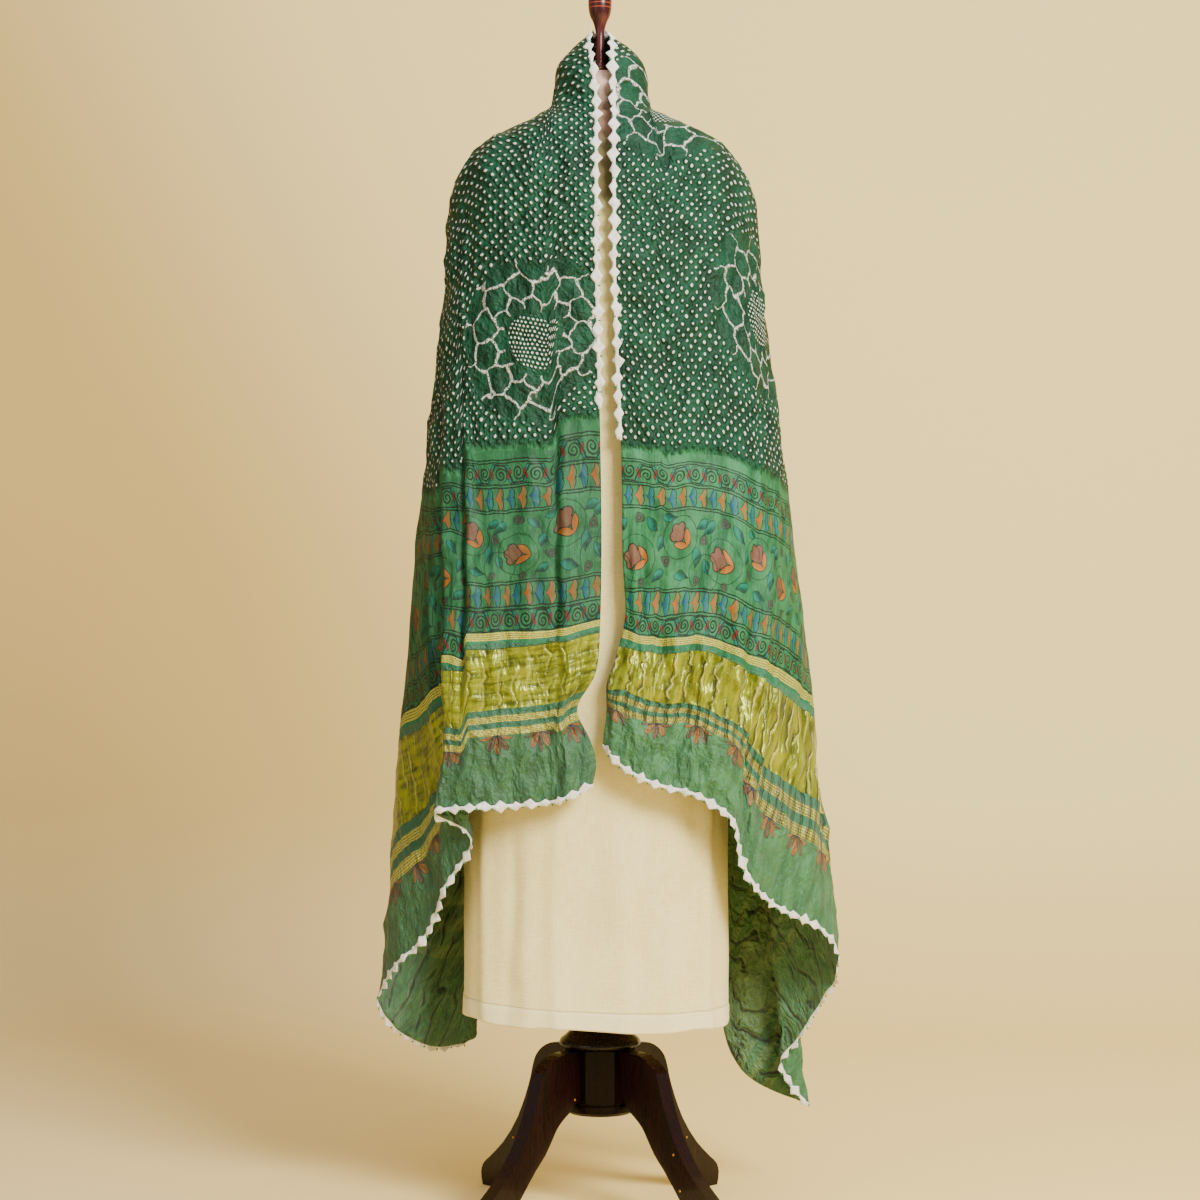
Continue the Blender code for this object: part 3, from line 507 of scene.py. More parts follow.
# ---------------------------------------------------------------- materials
def srgb(red, green, blue):
    """A colour given in 0 to 255, as the linear values that nodes take."""
    return tuple(
        value / 255 / 12.92 if value <= 10 else ((value / 255 + 0.055) / 1.055) ** 2.4 for value in (red, green, blue)
    )


class Wire:
    """A number that a material works out. Arithmetic on it adds Math nodes."""

    def __init__(self, graph, socket):
        self.graph, self.socket = graph, socket

    def __add__(self, other): return self.graph.math("ADD", self, other)
    def __radd__(self, other): return self.graph.math("ADD", other, self)
    def __sub__(self, other): return self.graph.math("SUBTRACT", self, other)
    def __rsub__(self, other): return self.graph.math("SUBTRACT", other, self)
    def __mul__(self, other): return self.graph.math("MULTIPLY", self, other)
    def __rmul__(self, other): return self.graph.math("MULTIPLY", other, self)
    def __truediv__(self, other): return self.graph.math("DIVIDE", self, other)
    def __lt__(self, other): return self.graph.math("LESS_THAN", self, other)
    def __gt__(self, other): return self.graph.math("GREATER_THAN", self, other)
    def __pow__(self, other): return self.graph.math("POWER", self, other)
    def __abs__(self): return self.graph.math("ABSOLUTE", self)


class Graph:
    """Builds one material's nodes."""

    def __init__(self, name):
        self.material = bpy.data.materials.new(name)
        self.material.use_nodes = True
        self.tree = self.material.node_tree
        self.shader = self.tree.nodes["Principled BSDF"]

    def node(self, kind, settings=None, inputs=None):
        made = self.tree.nodes.new(kind)
        for name, value in (settings or {}).items():
            setattr(made, name, value)
        for name, value in (inputs or {}).items():
            self.join(value, made.inputs[name])
        return made

    def join(self, value, socket):
        if isinstance(value, Wire):
            self.tree.links.new(value.socket, socket)
        elif isinstance(value, tuple) and len(value) == 3 and socket.type == "RGBA":
            socket.default_value = (*value, 1.0)
        else:
            socket.default_value = value

    def math(self, operation, *values):
        made = self.node("ShaderNodeMath", {"operation": operation}, dict(enumerate(values)))
        return Wire(self, made.outputs[0])

    def sin(self, value): return self.math("SINE", value)
    def cos(self, value): return self.math("COSINE", value)
    def floor(self, value): return self.math("FLOOR", value)
    def part(self, value): return self.math("FRACT", value)
    def low(self, one, other): return self.math("MINIMUM", one, other)
    def high(self, one, other): return self.math("MAXIMUM", one, other)
    def turn(self, y, x): return self.math("ARCTAN2", y, x)
    def wrap(self, value, period): return self.math("WRAP", value, period / 2, -period / 2)

    def length(self, x, y):
        return self.math("SQRT", x * x + y * y)

    def ramp(self, value, low, high):
        """Smoothly from 0 at low to 1 at high. low may be the greater."""
        made = self.node(
            "ShaderNodeMapRange", {"interpolation_type": "SMOOTHSTEP"},
            {"Value": value, "From Min": low, "From Max": high},
        )
        return Wire(self, made.outputs["Result"])

    def band(self, value, low, high, soft=0.3):
        return self.ramp(value, low - soft, low + soft) * self.ramp(value, high + soft, high - soft)

    def line(self, distance, width):
        """1 within half the width of where the distance is 0."""
        return self.ramp(abs(distance), width * 0.75, width * 0.30)

    def mix(self, factor, one, other):
        made = self.node("ShaderNodeMix", {"data_type": "RGBA"})
        for socket, value in zip((made.inputs[0], made.inputs[6], made.inputs[7]), (factor, one, other)):
            self.join(value, socket)
        return Wire(self, made.outputs[2])

    def blend(self, factor, one, other):
        """As mix, for plain numbers."""
        return one + (other - one) * factor

    def vector(self, x, y, z=0.0):
        return Wire(self, self.node("ShaderNodeCombineXYZ", None, {"X": x, "Y": y, "Z": z}).outputs[0])

    def noise(self, x, y, z=0.0, detail=2.0, roughness=0.5):
        made = self.node(
            "ShaderNodeTexNoise", None,
            {"Vector": self.vector(x, y, z), "Scale": 1.0, "Detail": detail, "Roughness": roughness},
        )
        return Wire(self, made.outputs[0])

    def random(self, x, y):
        made = self.node("ShaderNodeTexWhiteNoise", {"noise_dimensions": "2D"}, {"Vector": self.vector(x, y)})
        return Wire(self, made.outputs["Value"])

    def fabric(self):
        """Millimetres along, from end to end with 0 at the centre back, and across."""
        uv = self.node("ShaderNodeUVMap", {"uv_map": "Fabric"})
        split = self.node("ShaderNodeSeparateXYZ", None, {"Vector": Wire(self, uv.outputs[0])})
        return Wire(self, split.outputs[0]) * 1000.0, Wire(self, split.outputs[1]) * 1000.0

    def place(self):
        """Object coordinates, in millimetres."""
        found = self.node("ShaderNodeTexCoord").outputs["Object"]
        split = self.node("ShaderNodeSeparateXYZ", None, {"Vector": Wire(self, found)})
        return [Wire(self, split.outputs[axis]) * 1000.0 for axis in range(3)]

    def finish(self, colour, roughness, height=None, depth=0.001, **more):
        """Joins the results to the shader. The height is in units of depth, in metres."""
        self.join(colour, self.shader.inputs["Base Color"])
        self.join(roughness, self.shader.inputs["Roughness"])
        for name, value in more.items():
            self.join(value, self.shader.inputs[name.replace("_", " ").title().replace("Ior", "IOR")])
        if height is not None:
            bump = self.node("ShaderNodeBump", None, {"Height": height, "Distance": depth, "Strength": 1.0})
            self.tree.links.new(bump.outputs[0], self.shader.inputs["Normal"])
        return self.material


DARK_GREEN = srgb(4, 46, 28)
DARK_GREEN_LIT = srgb(12, 68, 46)
LIGHT_GREEN = srgb(47, 115, 73)
LIGHT_GREEN_SHADE = srgb(22, 80, 46)
TEAL_GREEN = srgb(34, 100, 68)
WHITE_DOT = srgb(206, 212, 204)
SHADOW = (0.002, 0.010, 0.006)
INK = srgb(10, 18, 16)
LEAF = srgb(0, 108, 92)
LEAF_DARK = srgb(0, 48, 46)
ROSE = srgb(112, 58, 52)
ORANGE = srgb(152, 74, 14)
ORANGE_PALE = srgb(122, 88, 40)
ORANGE_BRIGHT = srgb(164, 98, 24)
BLUE = srgb(6, 54, 94)
BLUE_PALE = srgb(24, 92, 106)
MAUVE = srgb(60, 54, 52)
RED = srgb(124, 8, 22)
GOLD = srgb(146, 154, 16)
GOLD_SHADE = srgb(70, 78, 2)


def weave(g, x, y):
    """The fine plain weave, from 0 to 1."""
    return (g.sin(x * 7.0) * g.sin(y * 7.0)) * 0.25 + 0.5


def crinkle(g, x, y, apart, seed):
    """Sharp little folds, from 0 to 1."""
    field = g.noise(x / apart, y / apart, seed, 1.5, 0.45)
    return 1.0 - abs(field * 2.0 - 1.0) * 2.2


def tied_field(g, x, y):
    """The tied dots and rings: how white each point is, and how high the ties leave it."""
    sway = g.noise(x / 26.0, y / 26.0, 2.0, 0.0)
    sway_more = g.noise(x / 26.0, y / 26.0, 9.0, 0.0)
    x, y = x + (sway - 0.5) * 6.5, y + (sway_more - 0.5) * 6.5
    pitch = 9.6
    one, other = (x + y) / (pitch * 1.4142), (x - y) / (pitch * 1.4142)
    chance_size = g.random(g.floor(one), g.floor(other))
    chance_more = g.random(g.floor(one) + 31.0, g.floor(other))
    off_one = abs(g.part(one) - 0.5 + (chance_size - 0.5) * 0.16)
    off_other = abs(g.part(other) - 0.5 + (chance_more - 0.5) * 0.16)
    reach = ((off_one ** 3.0 + off_other ** 3.0) ** 0.3333) * pitch
    size = 1.00 + chance_size * 0.75
    dots = g.ramp(reach - size, 0.55, -0.35) * g.ramp(reach, 0.05, 0.50)
    peaks = g.ramp(reach, 4.6, 0.0)

    # Rings of net round a disc of small dots, in two rows that step past each other.
    row_x, row_y = g.wrap(x + 450.0, 590.0), g.wrap(y - 87.0, 410.0)
    next_x, next_y = g.wrap(x + 105.0, 493.0), g.wrap(y - 240.0, 410.0)
    nearer = g.length(row_x, row_y) < g.length(next_x, next_y)
    ring_x, ring_y = g.blend(nearer, next_x, row_x), g.blend(nearer, next_y, row_y)
    whole = abs(x - ring_x) < 520.0  # no ring runs out over the dye edge
    ring_y = ring_y / 1.10
    radius = g.length(ring_x, ring_y)
    step = g.turn(ring_y, ring_x) * (12 / math.tau) + (g.noise(x / 17.0, y / 17.0, 12.0, 1.0) - 0.5) * 0.7
    saw = abs(g.part(step) * 2.0 - 1.0)  # 1 on the spokes, 0 between them
    spoke = abs(1.0 - saw) * radius * (math.pi / 12)  # how far from a spoke, in millimetres
    between = saw * radius * (math.pi / 12)
    inner = g.line((radius - 45.0 - saw * 9.0) * 0.82, 2.8)
    outer = g.line((radius - 79.0 + saw * 10.0) * 0.82, 2.8)
    spokes = g.line(spoke, 2.8) * g.band(radius, 54.0, 69.0, 0.8)
    ends = g.line(between, 2.8) * g.high(g.band(radius, 79.0, 93.0, 0.8), g.band(radius, 38.0, 45.0, 0.8))
    bead = g.noise(x / 1.9, y / 1.9, 6.0, 1.0)
    net = g.high(g.high(inner, outer), g.high(spokes, ends)) * (g.ramp(bead, 0.32, 0.50) * 0.90)
    small_one, small_other = g.part(ring_x / 5.0) - 0.5, g.part(ring_y / 5.0 + 0.5 * g.floor(ring_x / 5.0)) - 0.5
    small = g.length(small_one, small_other) * 5.0
    disc = g.ramp(small, 1.55, 0.95) * g.ramp(radius, 32.0, 30.5)
    inside = g.ramp(radius, 95.0, 92.0) * whole
    ring_white = g.high(net, disc)
    white = g.blend(inside, dots, ring_white)
    high = g.blend(inside, peaks, g.high(net, g.ramp(small, 2.9, 0.4) * g.ramp(radius, 34.0, 30.0) * 0.6))
    return white, high


def dye_edge(g, x, y, from_end):
    """1 in the dark dye, 0 below its streaky edge."""
    streak = g.noise(x / 16.0, y / 2.6, 4.0, 3.0, 0.6)
    broad = g.noise(x / 80.0, y / 34.0, 5.0, 1.0)
    edge = from_end - (streak - 0.5) * 20.0 - (broad - 0.5) * 10.0
    return g.ramp(edge, DYE_EDGE * 1000 - 6.0, DYE_EDGE * 1000 + 5.0)


def pale_ground(g, x, y):
    """The light green, with faint upright streaks."""
    mottle = g.noise(x / 42.0, y / 24.0, 1.0, 4.0, 0.6)
    streak = g.noise(x / 60.0, y / 5.0, 2.0, 2.0)
    return g.mix(g.ramp(mottle * 0.8 + streak * 0.2, 0.34, 0.60), LIGHT_GREEN_SHADE, LIGHT_GREEN)


def dyed_silk():
    """The dark ground with its white ties, and the soft edge where the dye ends."""
    g = Graph("bandhani_dyed")
    x, y = g.fabric()
    from_end = REACH * 1000 - abs(x)
    white, high = tied_field(g, x, y)
    mottle = g.noise(x / 38.0, y / 30.0, 1.0, 4.0, 0.6)
    ground = g.mix(g.ramp(mottle, 0.35, 0.68), DARK_GREEN, DARK_GREEN_LIT)
    broad_folds, small_folds = crinkle(g, x, y, 15.0, 1.0), crinkle(g, x, y * 0.8, 6.5, 6.0)
    folds = broad_folds * 0.55 + small_folds * 0.30
    ground = g.mix(g.ramp(small_folds + broad_folds * 0.4, 0.55, -0.35) * 0.72, ground, SHADOW)
    dye = dye_edge(g, x, y, from_end)
    colour = g.mix(dye, pale_ground(g, x, y), ground)
    tied = white * g.ramp(from_end, DYE_EDGE * 1000 + 3.0, DYE_EDGE * 1000 + 9.0)
    worn = g.noise(x / 1.6, y / 1.6, 3.0, 2.0)
    colour = g.mix(tied * g.ramp(worn, 0.15, 0.42), colour, WHITE_DOT)
    height = (high * 0.8 + folds) * dye + (1.0 - dye) * folds * 0.35 + weave(g, x, y) * 0.03
    return g.finish(colour, 0.60 + tied * 0.15, height, 0.0038, specular_ior_level=0.25)


SCROLL_BANDS = ((262.5, 24.0), (450.0, 25.0))  # middle and period, from the short end
BELL_BANDS = ((290.5, 16.0), (421.0, 16.5))
INK_LINES = (250.5, 274.5, 278.0, 303.0, 306.5, 404.5, 408.0, 434.0, 437.5, 463.0, 466.5)
FLORAL_MIDDLE, FLORAL_PERIOD = 355.8, 138.0
# Each flower's middle, the way it points (degrees) and its size.
LOTUSES = ((-40.0, -12.0, 172.0, 1.34), (28.0, 16.0, 128.0, 1.30))
LEAVES = (
    (-64.0, 27.0, 30.0, 12.5), (-16.0, 30.0, 120.0, 11.5), (-6.0, -34.0, 20.0, 11.5), (10.0, 41.0, 170.0, 10.0),
    (54.0, -10.0, 70.0, 12.5), (62.0, 32.0, 15.0, 11.0), (32.0, -34.0, 150.0, 12.0), (-67.0, -22.0, 100.0, 11.0),
    (-4.0, 6.0, 60.0, 10.5),
)
BUDS = (
    (8.0, -14.0, 20.0, 8.4), (-38.0, 37.0, 200.0, 8.4), (58.0, -38.0, 100.0, 7.4), (66.0, 10.0, 300.0, 7.8),
    (-34.0, -42.0, 150.0, 7.0),
)
VINES = ((-40.0, -12.0, 29.0), (28.0, 15.0, 27.0), (69.0, -30.0, 24.0))  # x, y, radius


def turned_to(x, y, heading):
    """Coordinates turned by a heading in degrees."""
    turn = math.radians(heading)
    return x * math.cos(turn) + y * math.sin(turn), y * math.cos(turn) - x * math.sin(turn)


def lens(a, b, half_length, half_width):
    """How far inside an almond shape a point is."""
    return half_width * (1.0 - (a / half_length) * (a / half_length)) - abs(b)


def painted_silk():
    """Hand-painted borders: ink scrolls, side-lying fans and a flowering vine on light green."""
    g = Graph("bandhani_painted")
    x, y = g.fabric()
    from_end = REACH * 1000 - abs(x)
    hand_x, hand_y = g.noise(x / 22.0, y / 22.0, 3.0, 1.0), g.noise(x / 22.0, y / 22.0, 8.0, 1.0)
    down = from_end + (hand_x - 0.5) * 5.0
    over = y + (hand_y - 0.5) * 6.0
    rightward = over * g.math("SIGN", x)
    colour = pale_ground(g, x, y)
    wash = g.noise(x / 6.0, y / 6.0, 5.0, 2.0)
    hatch = g.noise((x + y) / 1.6, (x - y) / 9.0, 4.0, 1.0)
    fill = g.ramp(wash * 0.6 + hatch * 0.4, 0.25, 0.62) * 0.42 + 0.52
    ink = None
    for level in INK_LINES:
        stroke = g.line(down - level + (wash - 0.5) * 1.6, 1.6)
        ink = stroke if ink is None else g.high(ink, stroke)

    for middle, period in SCROLL_BANDS:
        within = g.band(down, middle - 12.0, middle + 12.0)
        cell = g.floor(over / period)
        hand = g.part(cell * 0.5) * 4.0 - 1.0  # -1 and 1 by turns
        local, level = (g.part(over / period) - 0.5) * period, (down - middle) * hand
        radius = g.length(local + 1.0, (level + 1.5) * 0.95)
        swirl = g.part(radius / 4.3 - g.turn(level + 1.5, local + 1.0) / math.tau)
        scroll = g.line((swirl - 0.5) * 4.3, 1.9) * g.ramp(radius, 9.4, 8.6) * g.ramp(radius, 0.9, 1.5)
        # The stem that runs over one scroll and under the next.
        rise = g.sin(over * (math.pi / period))
        off_stem = down - middle - g.high(g.low(rise * 1.5, 1.0), -1.0) * -10.2
        stem = g.line(off_stem * (1.0 - abs(g.cos(over * (math.pi / period))) * 0.5), 1.7)
        beside = abs(local) - period / 2
        drop = g.length((beside + 0.6) / 2.0, (level + 2.5) / 3.8)
        leaf = g.length((beside + level * 0.30) / 2.9, (level - 6.6) / 4.2)
        colour = g.mix(g.ramp(drop, 1.1, 0.8) * within, colour, RED)
        colour = g.mix(g.ramp(leaf, 1.1, 0.85) * within, colour, g.mix(g.ramp(beside, -2.0, 1.0), LEAF, LEAF_DARK))
        rims = g.high(g.line((leaf - 1.05) * 3.2, 0.9), g.line((drop - 1.1) * 2.6, 0.8))
        strokes = g.high(g.high(scroll, stem), rims)
        ink = g.high(ink, strokes * within)

    for middle, period in BELL_BANDS:
        within = g.band(down, middle - 13.6, middle + 13.6)
        parity = g.part(g.floor(rightward / period) * 0.5) * 2.0
        local = g.part(rightward / period) * period
        level = abs(down - middle)
        near_side = local - ((level / 13.2) ** 0.42) * 9.4
        lobe = g.high(51.8 - ((level - 5.2) * 0.88) * ((level - 5.2) * 0.88), 0.0)
        far_side = g.math("SQRT", lobe) + 8.2 - local
        gap = g.low(near_side, far_side)
        body = g.ramp(gap, -0.2, 0.4) * within
        blue = g.mix(g.ramp(local, 3.0, 12.0), BLUE, BLUE_PALE)
        orange = g.mix(g.ramp(local, 3.0, 13.0), ORANGE, ORANGE_PALE)
        tint = g.mix(parity, blue, orange)
        fade = g.ramp(local + (wash - 0.5) * 6.0, 15.5, 9.5) * 0.68 + 0.32
        colour = g.mix(body * fill * fade * 1.15, colour, tint)
        link = g.line(level, 1.0) * g.ramp(local, 13.0, 14.0)
        strokes = g.high(g.line(gap, 1.15) * (g.ramp(local, 4.0, 9.0) * 0.45 + 0.55), link)
        ink = g.high(ink, strokes * within)

    field = g.band(down, 307.5, 404.0)
    cell_x = g.wrap(rightward - 62.0, FLORAL_PERIOD)
    cell_y = down - FLORAL_MIDDLE
    for vine_x, vine_y, vine_radius in VINES:
        ring = g.length(g.wrap(cell_x - vine_x, FLORAL_PERIOD), cell_y - vine_y) - vine_radius
        ink = g.high(ink, g.line(ring + (wash - 0.5) * 2.0, 1.0) * field * 0.85)
    for leaf_x, leaf_y, heading, size in LEAVES:
        a, b = turned_to(g.wrap(cell_x - leaf_x, FLORAL_PERIOD), cell_y - leaf_y, heading)
        share = g.high(g.low(a / size, 1.2), -1.2)
        bent = b - share * abs(share) * size * 0.30
        inside = size * 0.52 * (1.0 - share * share) * (1.0 + share * 0.45) - abs(bent)
        tint = g.mix(g.ramp(bent + a * 0.3, -3.5, 3.5), LEAF_DARK, LEAF)
        colour = g.mix(g.ramp(inside, -0.2, 0.5) * field * fill, colour, tint)
        ink = g.high(ink, g.line(inside, 1.0) * field * 0.85)
    for bud_x, bud_y, heading, size in BUDS:
        a, b = turned_to(g.wrap(cell_x - bud_x, FLORAL_PERIOD), cell_y - bud_y, heading)
        curl = g.length(a, b - a * a * 0.045) - size * 0.78 + a * 0.22
        colour = g.mix(g.ramp(curl, 0.3, -0.5) * field * fill * 0.9, colour, MAUVE)
        ink = g.high(ink, g.high(g.line(curl, 0.9), g.line(curl + size * 0.42, 0.9)) * field * 0.75)
    for bloom_x, bloom_y, heading, size in LOTUSES:
        a, b = turned_to(g.wrap(cell_x - bloom_x, FLORAL_PERIOD), cell_y - bloom_y, heading)
        a, b = a / size, abs(b / size)
        heart = g.high(
            g.high(7.2 - g.length(a - 2.0, b), 4.8 - g.length(a - 10.0, b)), 4.9 - g.length(a - 6.0, b - 6.6)
        )
        colour = g.mix(g.ramp(heart, -0.2, 0.5) * field * (fill * 0.6 + 0.28), colour, ROSE)
        sepal_a, sepal_b = turned_to(a + 6.6, b - 5.4, 38.0)
        sepal = lens(sepal_a, sepal_b, 9.2, 3.5)
        veins = g.line(sepal + 0.2, 0.9)
        ink = g.high(ink, g.line(heart, 1.1) * field)
        over_ink = g.ramp(sepal, -0.2, 0.4) * field
        ink = ink * (1.0 - over_ink)
        sepal_tint = g.mix(g.ramp(sepal_b, -3.0, 3.0), ORANGE, ORANGE_BRIGHT)
        colour = g.mix(over_ink * (fill * 0.5 + 0.40), colour, sepal_tint)
        ink = g.high(ink, veins * field)

    colour = g.mix(ink * 0.92, colour, INK)
    # Painted shade: the left end is darker, as it faces away from the light.
    colour = g.mix((x < 0.0) * 0.32, colour, SHADOW)
    # The uppermost zari stripe, and the green below it.
    stripe_low, stripe_high = ZARI_BANDS[-1]
    woven = g.mix(from_end > stripe_low, end_green(g, x, y, from_end), zari_thread(g, x, y, from_end))
    colour = g.mix(from_end < stripe_high, colour, woven)
    folds = crinkle(g, x, y, 26.0, 1.0)
    colour = g.mix(g.ramp(folds, 0.30, -0.75) * 0.62, colour, SHADOW)
    dye = dye_edge(g, x, y, from_end)
    colour = g.mix(dye, colour, DARK_GREEN)
    height = folds * 0.45 + crinkle(g, x * 0.4, y, 7.0, 6.0) * 0.16 + weave(g, x, y) * 0.03
    return g.finish(colour, 0.6, height, 0.0022, specular_ior_level=0.25)


ZARI_BANDS = ((85.0, 98.0), (110.0, 123.0), (236.0, 249.0))
SATIN_BAND = (135.0, 223.0)


def gold_parts(g, down):
    satin = g.band(down, *SATIN_BAND, 0.5)
    zari = None
    for low, high in ZARI_BANDS:
        strip = g.band(down, low, high, 0.4)
        zari = strip if zari is None else g.high(zari, strip)
    return satin, zari


def end_green(g, x, y, from_end):
    """The woven green between and below the gold."""
    mottle = g.noise(x / 40.0, y / 22.0, 1.0, 4.0, 0.6)
    green = g.mix(g.ramp(mottle, 0.3, 0.7), srgb(34, 86, 50), srgb(62, 118, 72))
    return g.mix(g.ramp(from_end, 84.0, 86.0), green, TEAL_GREEN)


def zari_thread(g, x, y, from_end):
    """Four fine gold lines side by side, with dull green between."""
    strand = abs(g.wrap(from_end - 236.0 - 1.65, 3.25))
    spark = g.noise(x / 0.9, y / 2.2, 3.0, 2.0)
    gold = g.mix(g.ramp(spark, 0.35, 0.65), srgb(120, 116, 28), srgb(204, 196, 84))
    return g.mix(g.ramp(strand, 0.85, 1.35), gold, srgb(60, 92, 52))


def woven_ends():
    """The gold satin border, its zari stripes, and the green end band with its hanging flowers."""
    g = Graph("bandhani_gold_ends")
    x, y = g.fabric()
    from_end = REACH * 1000 - abs(x)
    satin, zari = gold_parts(g, from_end)
    green = end_green(g, x, y, from_end)

    hand = g.noise(x / 18.0, y / 18.0, 3.0, 1.0)
    place = y + (hand - 0.5) * 6.0 - 20.0
    over = g.wrap(place, 70.0)
    odd = g.part(g.floor(place / 70.0 + 0.5) * 0.5) * 2.0
    below = 86.5 - from_end + (hand - 0.5) * 3.0
    radius, angle = g.length(over, below), g.turn(over, below)
    wash = g.ramp(g.noise(x / 4.0, y / 4.0, 5.0, 2.0), 0.25, 0.7) * 0.5 + 0.35
    # Five pointed petals spread down from the border's lower edge.
    petal = abs(g.part(angle / 0.70 + 0.5) - 0.5) * 2.0  # 0 on a petal's middle, 1 between petals
    reach = 26.0 - petal * petal * 13.0
    rim = g.low(reach - radius, (0.95 - petal) * radius * 0.35)
    held = g.ramp(below, 0.0, 0.6) * g.ramp(abs(angle), 1.40, 1.34)
    flower = g.ramp(rim, -0.2, 0.4) * held
    turn_about = g.part((g.floor(angle / 0.70 + 0.5) + odd) * 0.5) * 2.0
    green = g.mix(flower * wash, green, g.mix(turn_about, ORANGE, srgb(96, 36, 36)))
    green = g.mix(g.ramp(radius, 5.2, 4.4) * held, green, BLUE)
    ink = g.high(g.line(rim, 1.2), g.line(petal * radius * 0.35, 0.9) * g.ramp(radius, reach, reach - 2.0) * 0.6)
    green = g.mix(ink * held * g.ramp(radius, 29.0, 27.0) * 0.88, green, INK)

    thread = g.noise(x / 0.7, y / 9.0, 2.0, 2.0)
    broad = g.noise(x / 26.0, y / 16.0, 7.0, 3.0, 0.6)
    # The left end's streaks run across, the right end's run up.
    across_streaks = g.noise(x / 8.0, y / 50.0, 6.0, 2.0, 0.55)
    up_streaks = g.noise(x / 48.0, y / 15.0, 6.0, 2.0, 0.55)
    streaks = g.blend(x > 0.0, across_streaks, up_streaks)
    gold = g.mix(g.ramp(thread * 0.2 + broad * 0.25 + streaks * 0.55, 0.36, 0.60), GOLD_SHADE, GOLD)
    # Sharp creases that zigzag down the satin, with painted shade along each crease and a painted highlight beside it.
    zig = g.noise(x / 30.0, y / 60.0, 5.0, 1.5, 0.6)
    shown = g.ramp(g.noise(x / 45.0, y / 16.0, 8.0, 1.0), 0.40, 0.50) * ((x > 0.0) * 0.6 + 0.4)
    crease = g.wrap(y + (zig - 0.5) * 34.0, 25.0)
    gold = g.mix(g.line(crease, 1.9) * shown * 0.85, gold, srgb(40, 44, 4))
    gold = g.mix(g.ramp(crease, 0.6, 3.0) * g.ramp(crease, 7.0, 3.0) * shown * 0.55, gold, srgb(232, 230, 128))
    # Painted shade: the left end's green and gold are darker, as that end faces away from the light.
    green = g.mix((x < 0.0) * 0.34, green, SHADOW)
    gold = g.mix((x < 0.0) * 0.12, gold, SHADOW)
    colour = g.mix(zari, green, zari_thread(g, x, y, from_end))
    # The gathers bite into the stripes below the satin.
    tuck = g.wrap(y + (zig - 0.5) * 14.0, 17.0)
    biting = g.band(from_end, 84.0, 134.0, 3.0) * (x > 0.0)
    colour = g.mix(g.line(tuck, 3.4) * biting * 0.75, colour, SHADOW)
    folds = crinkle(g, x * 0.40, y, 12.0, 1.0)
    wrinkled = crinkle(g, x * 0.7, y, 24.0, 3.0) + crinkle(g, x, y, 8.0, 9.0) * 0.30
    colour = g.mix(g.ramp(wrinkled, 0.0, -1.0) * 0.80, colour, SHADOW)
    colour = g.mix(g.ramp(folds, 0.1, -0.7) * 0.30, g.mix(satin, colour, gold), SHADOW)
    roughness = 0.60 - satin * 0.30 - zari * 0.14 + broad * 0.06
    height = (
        folds * 0.30 + crinkle(g, x * 0.6, y, 5.0, 6.0) * 0.05 + streaks * satin * g.blend(x > 0.0, 0.45, 1.7)
        + wrinkled * (1.0 - satin) * 1.2 - g.line(crease, 4.0) * shown * satin * 0.8 - g.line(tuck, 7.0) * biting * 1.6
        + weave(g, x, y) * (1.0 - satin) * 0.03 + thread * satin * 0.03
    )
    return g.finish(
        colour, roughness, height, 0.0028, metallic=satin * 0.40 + zari * 0.25, sheen_weight=0.08, sheen_roughness=0.5,
    )


def wrong_side():
    """The back of the cloth: duller, with the ties and the borders showing through."""
    g = Graph("bandhani_wrong_side")
    x, y = g.fabric()
    from_end = REACH * 1000 - abs(x)
    white, high = tied_field(g, x, y)
    satin, zari = gold_parts(g, from_end)
    mottle = g.ramp(g.noise(x / 36.0, y / 22.0, 1.0, 4.0, 0.6), 0.3, 0.7)
    dark = g.mix(mottle, srgb(22, 56, 34), srgb(38, 80, 50))
    pale = g.mix(mottle, srgb(44, 86, 54), srgb(68, 116, 76))
    dull = g.mix(mottle, srgb(74, 104, 62), srgb(108, 138, 88))
    ghost = g.noise(x / 9.0, y / 9.0, 4.0, 1.0)
    pale = g.mix(g.ramp(ghost, 0.62, 0.72) * g.band(from_end, 305.0, 405.0) * 0.35, pale, srgb(120, 88, 60))
    pale = g.mix(g.high(satin, zari) * 0.6, pale, dull)
    dye = g.ramp(from_end, DYE_EDGE * 1000 - 6.0, DYE_EDGE * 1000 + 6.0)
    colour = g.mix(dye, pale, g.mix(white * 0.6, dark, srgb(170, 180, 160)))
    folds = crinkle(g, x * 0.7, y, 15.0, 1.0) + crinkle(g, x * 0.6, y, 6.0, 6.0) * 0.4
    colour = g.mix(g.ramp(folds, 0.5, -0.7) * 0.70, colour, SHADOW)
    # Long sharp creases that run up the cloth.
    pleat = g.wrap(y + (g.noise(x / 45.0, y / 45.0, 6.0, 1.5) - 0.5) * 70.0 + x * 0.2, 29.0)
    pressed = g.ramp(g.noise(x / 50.0, y / 22.0, 8.0, 1.0), 0.42, 0.52)
    colour = g.mix(g.line(pleat, 3.2) * pressed * 0.85, colour, SHADOW)
    height = folds * 0.5 - g.line(pleat, 6.0) * pressed * 0.5 + weave(g, x, y) * 0.03
    return g.finish(colour, 0.62 - g.high(satin, zari) * 0.12, height, 0.0070, sheen_weight=0.15, sheen_roughness=0.5)


def lace_cotton():
    g = Graph("cotton_lace_white")
    x, y, z = g.place()
    field = g.noise(x / 1.1, y / 1.1, z / 1.1, 3.0, 0.6)
    broad = g.noise(x / 9.0, y / 9.0, z / 9.0, 2.0)
    colour = g.mix(g.ramp(broad, 0.3, 0.7), srgb(226, 222, 212), srgb(250, 249, 244))
    colour = g.mix(g.ramp(field, 0.48, 0.34) * 0.7, colour, srgb(128, 134, 112))
    return g.finish(colour, 0.85, field, 0.0012, sheen_weight=0.3)


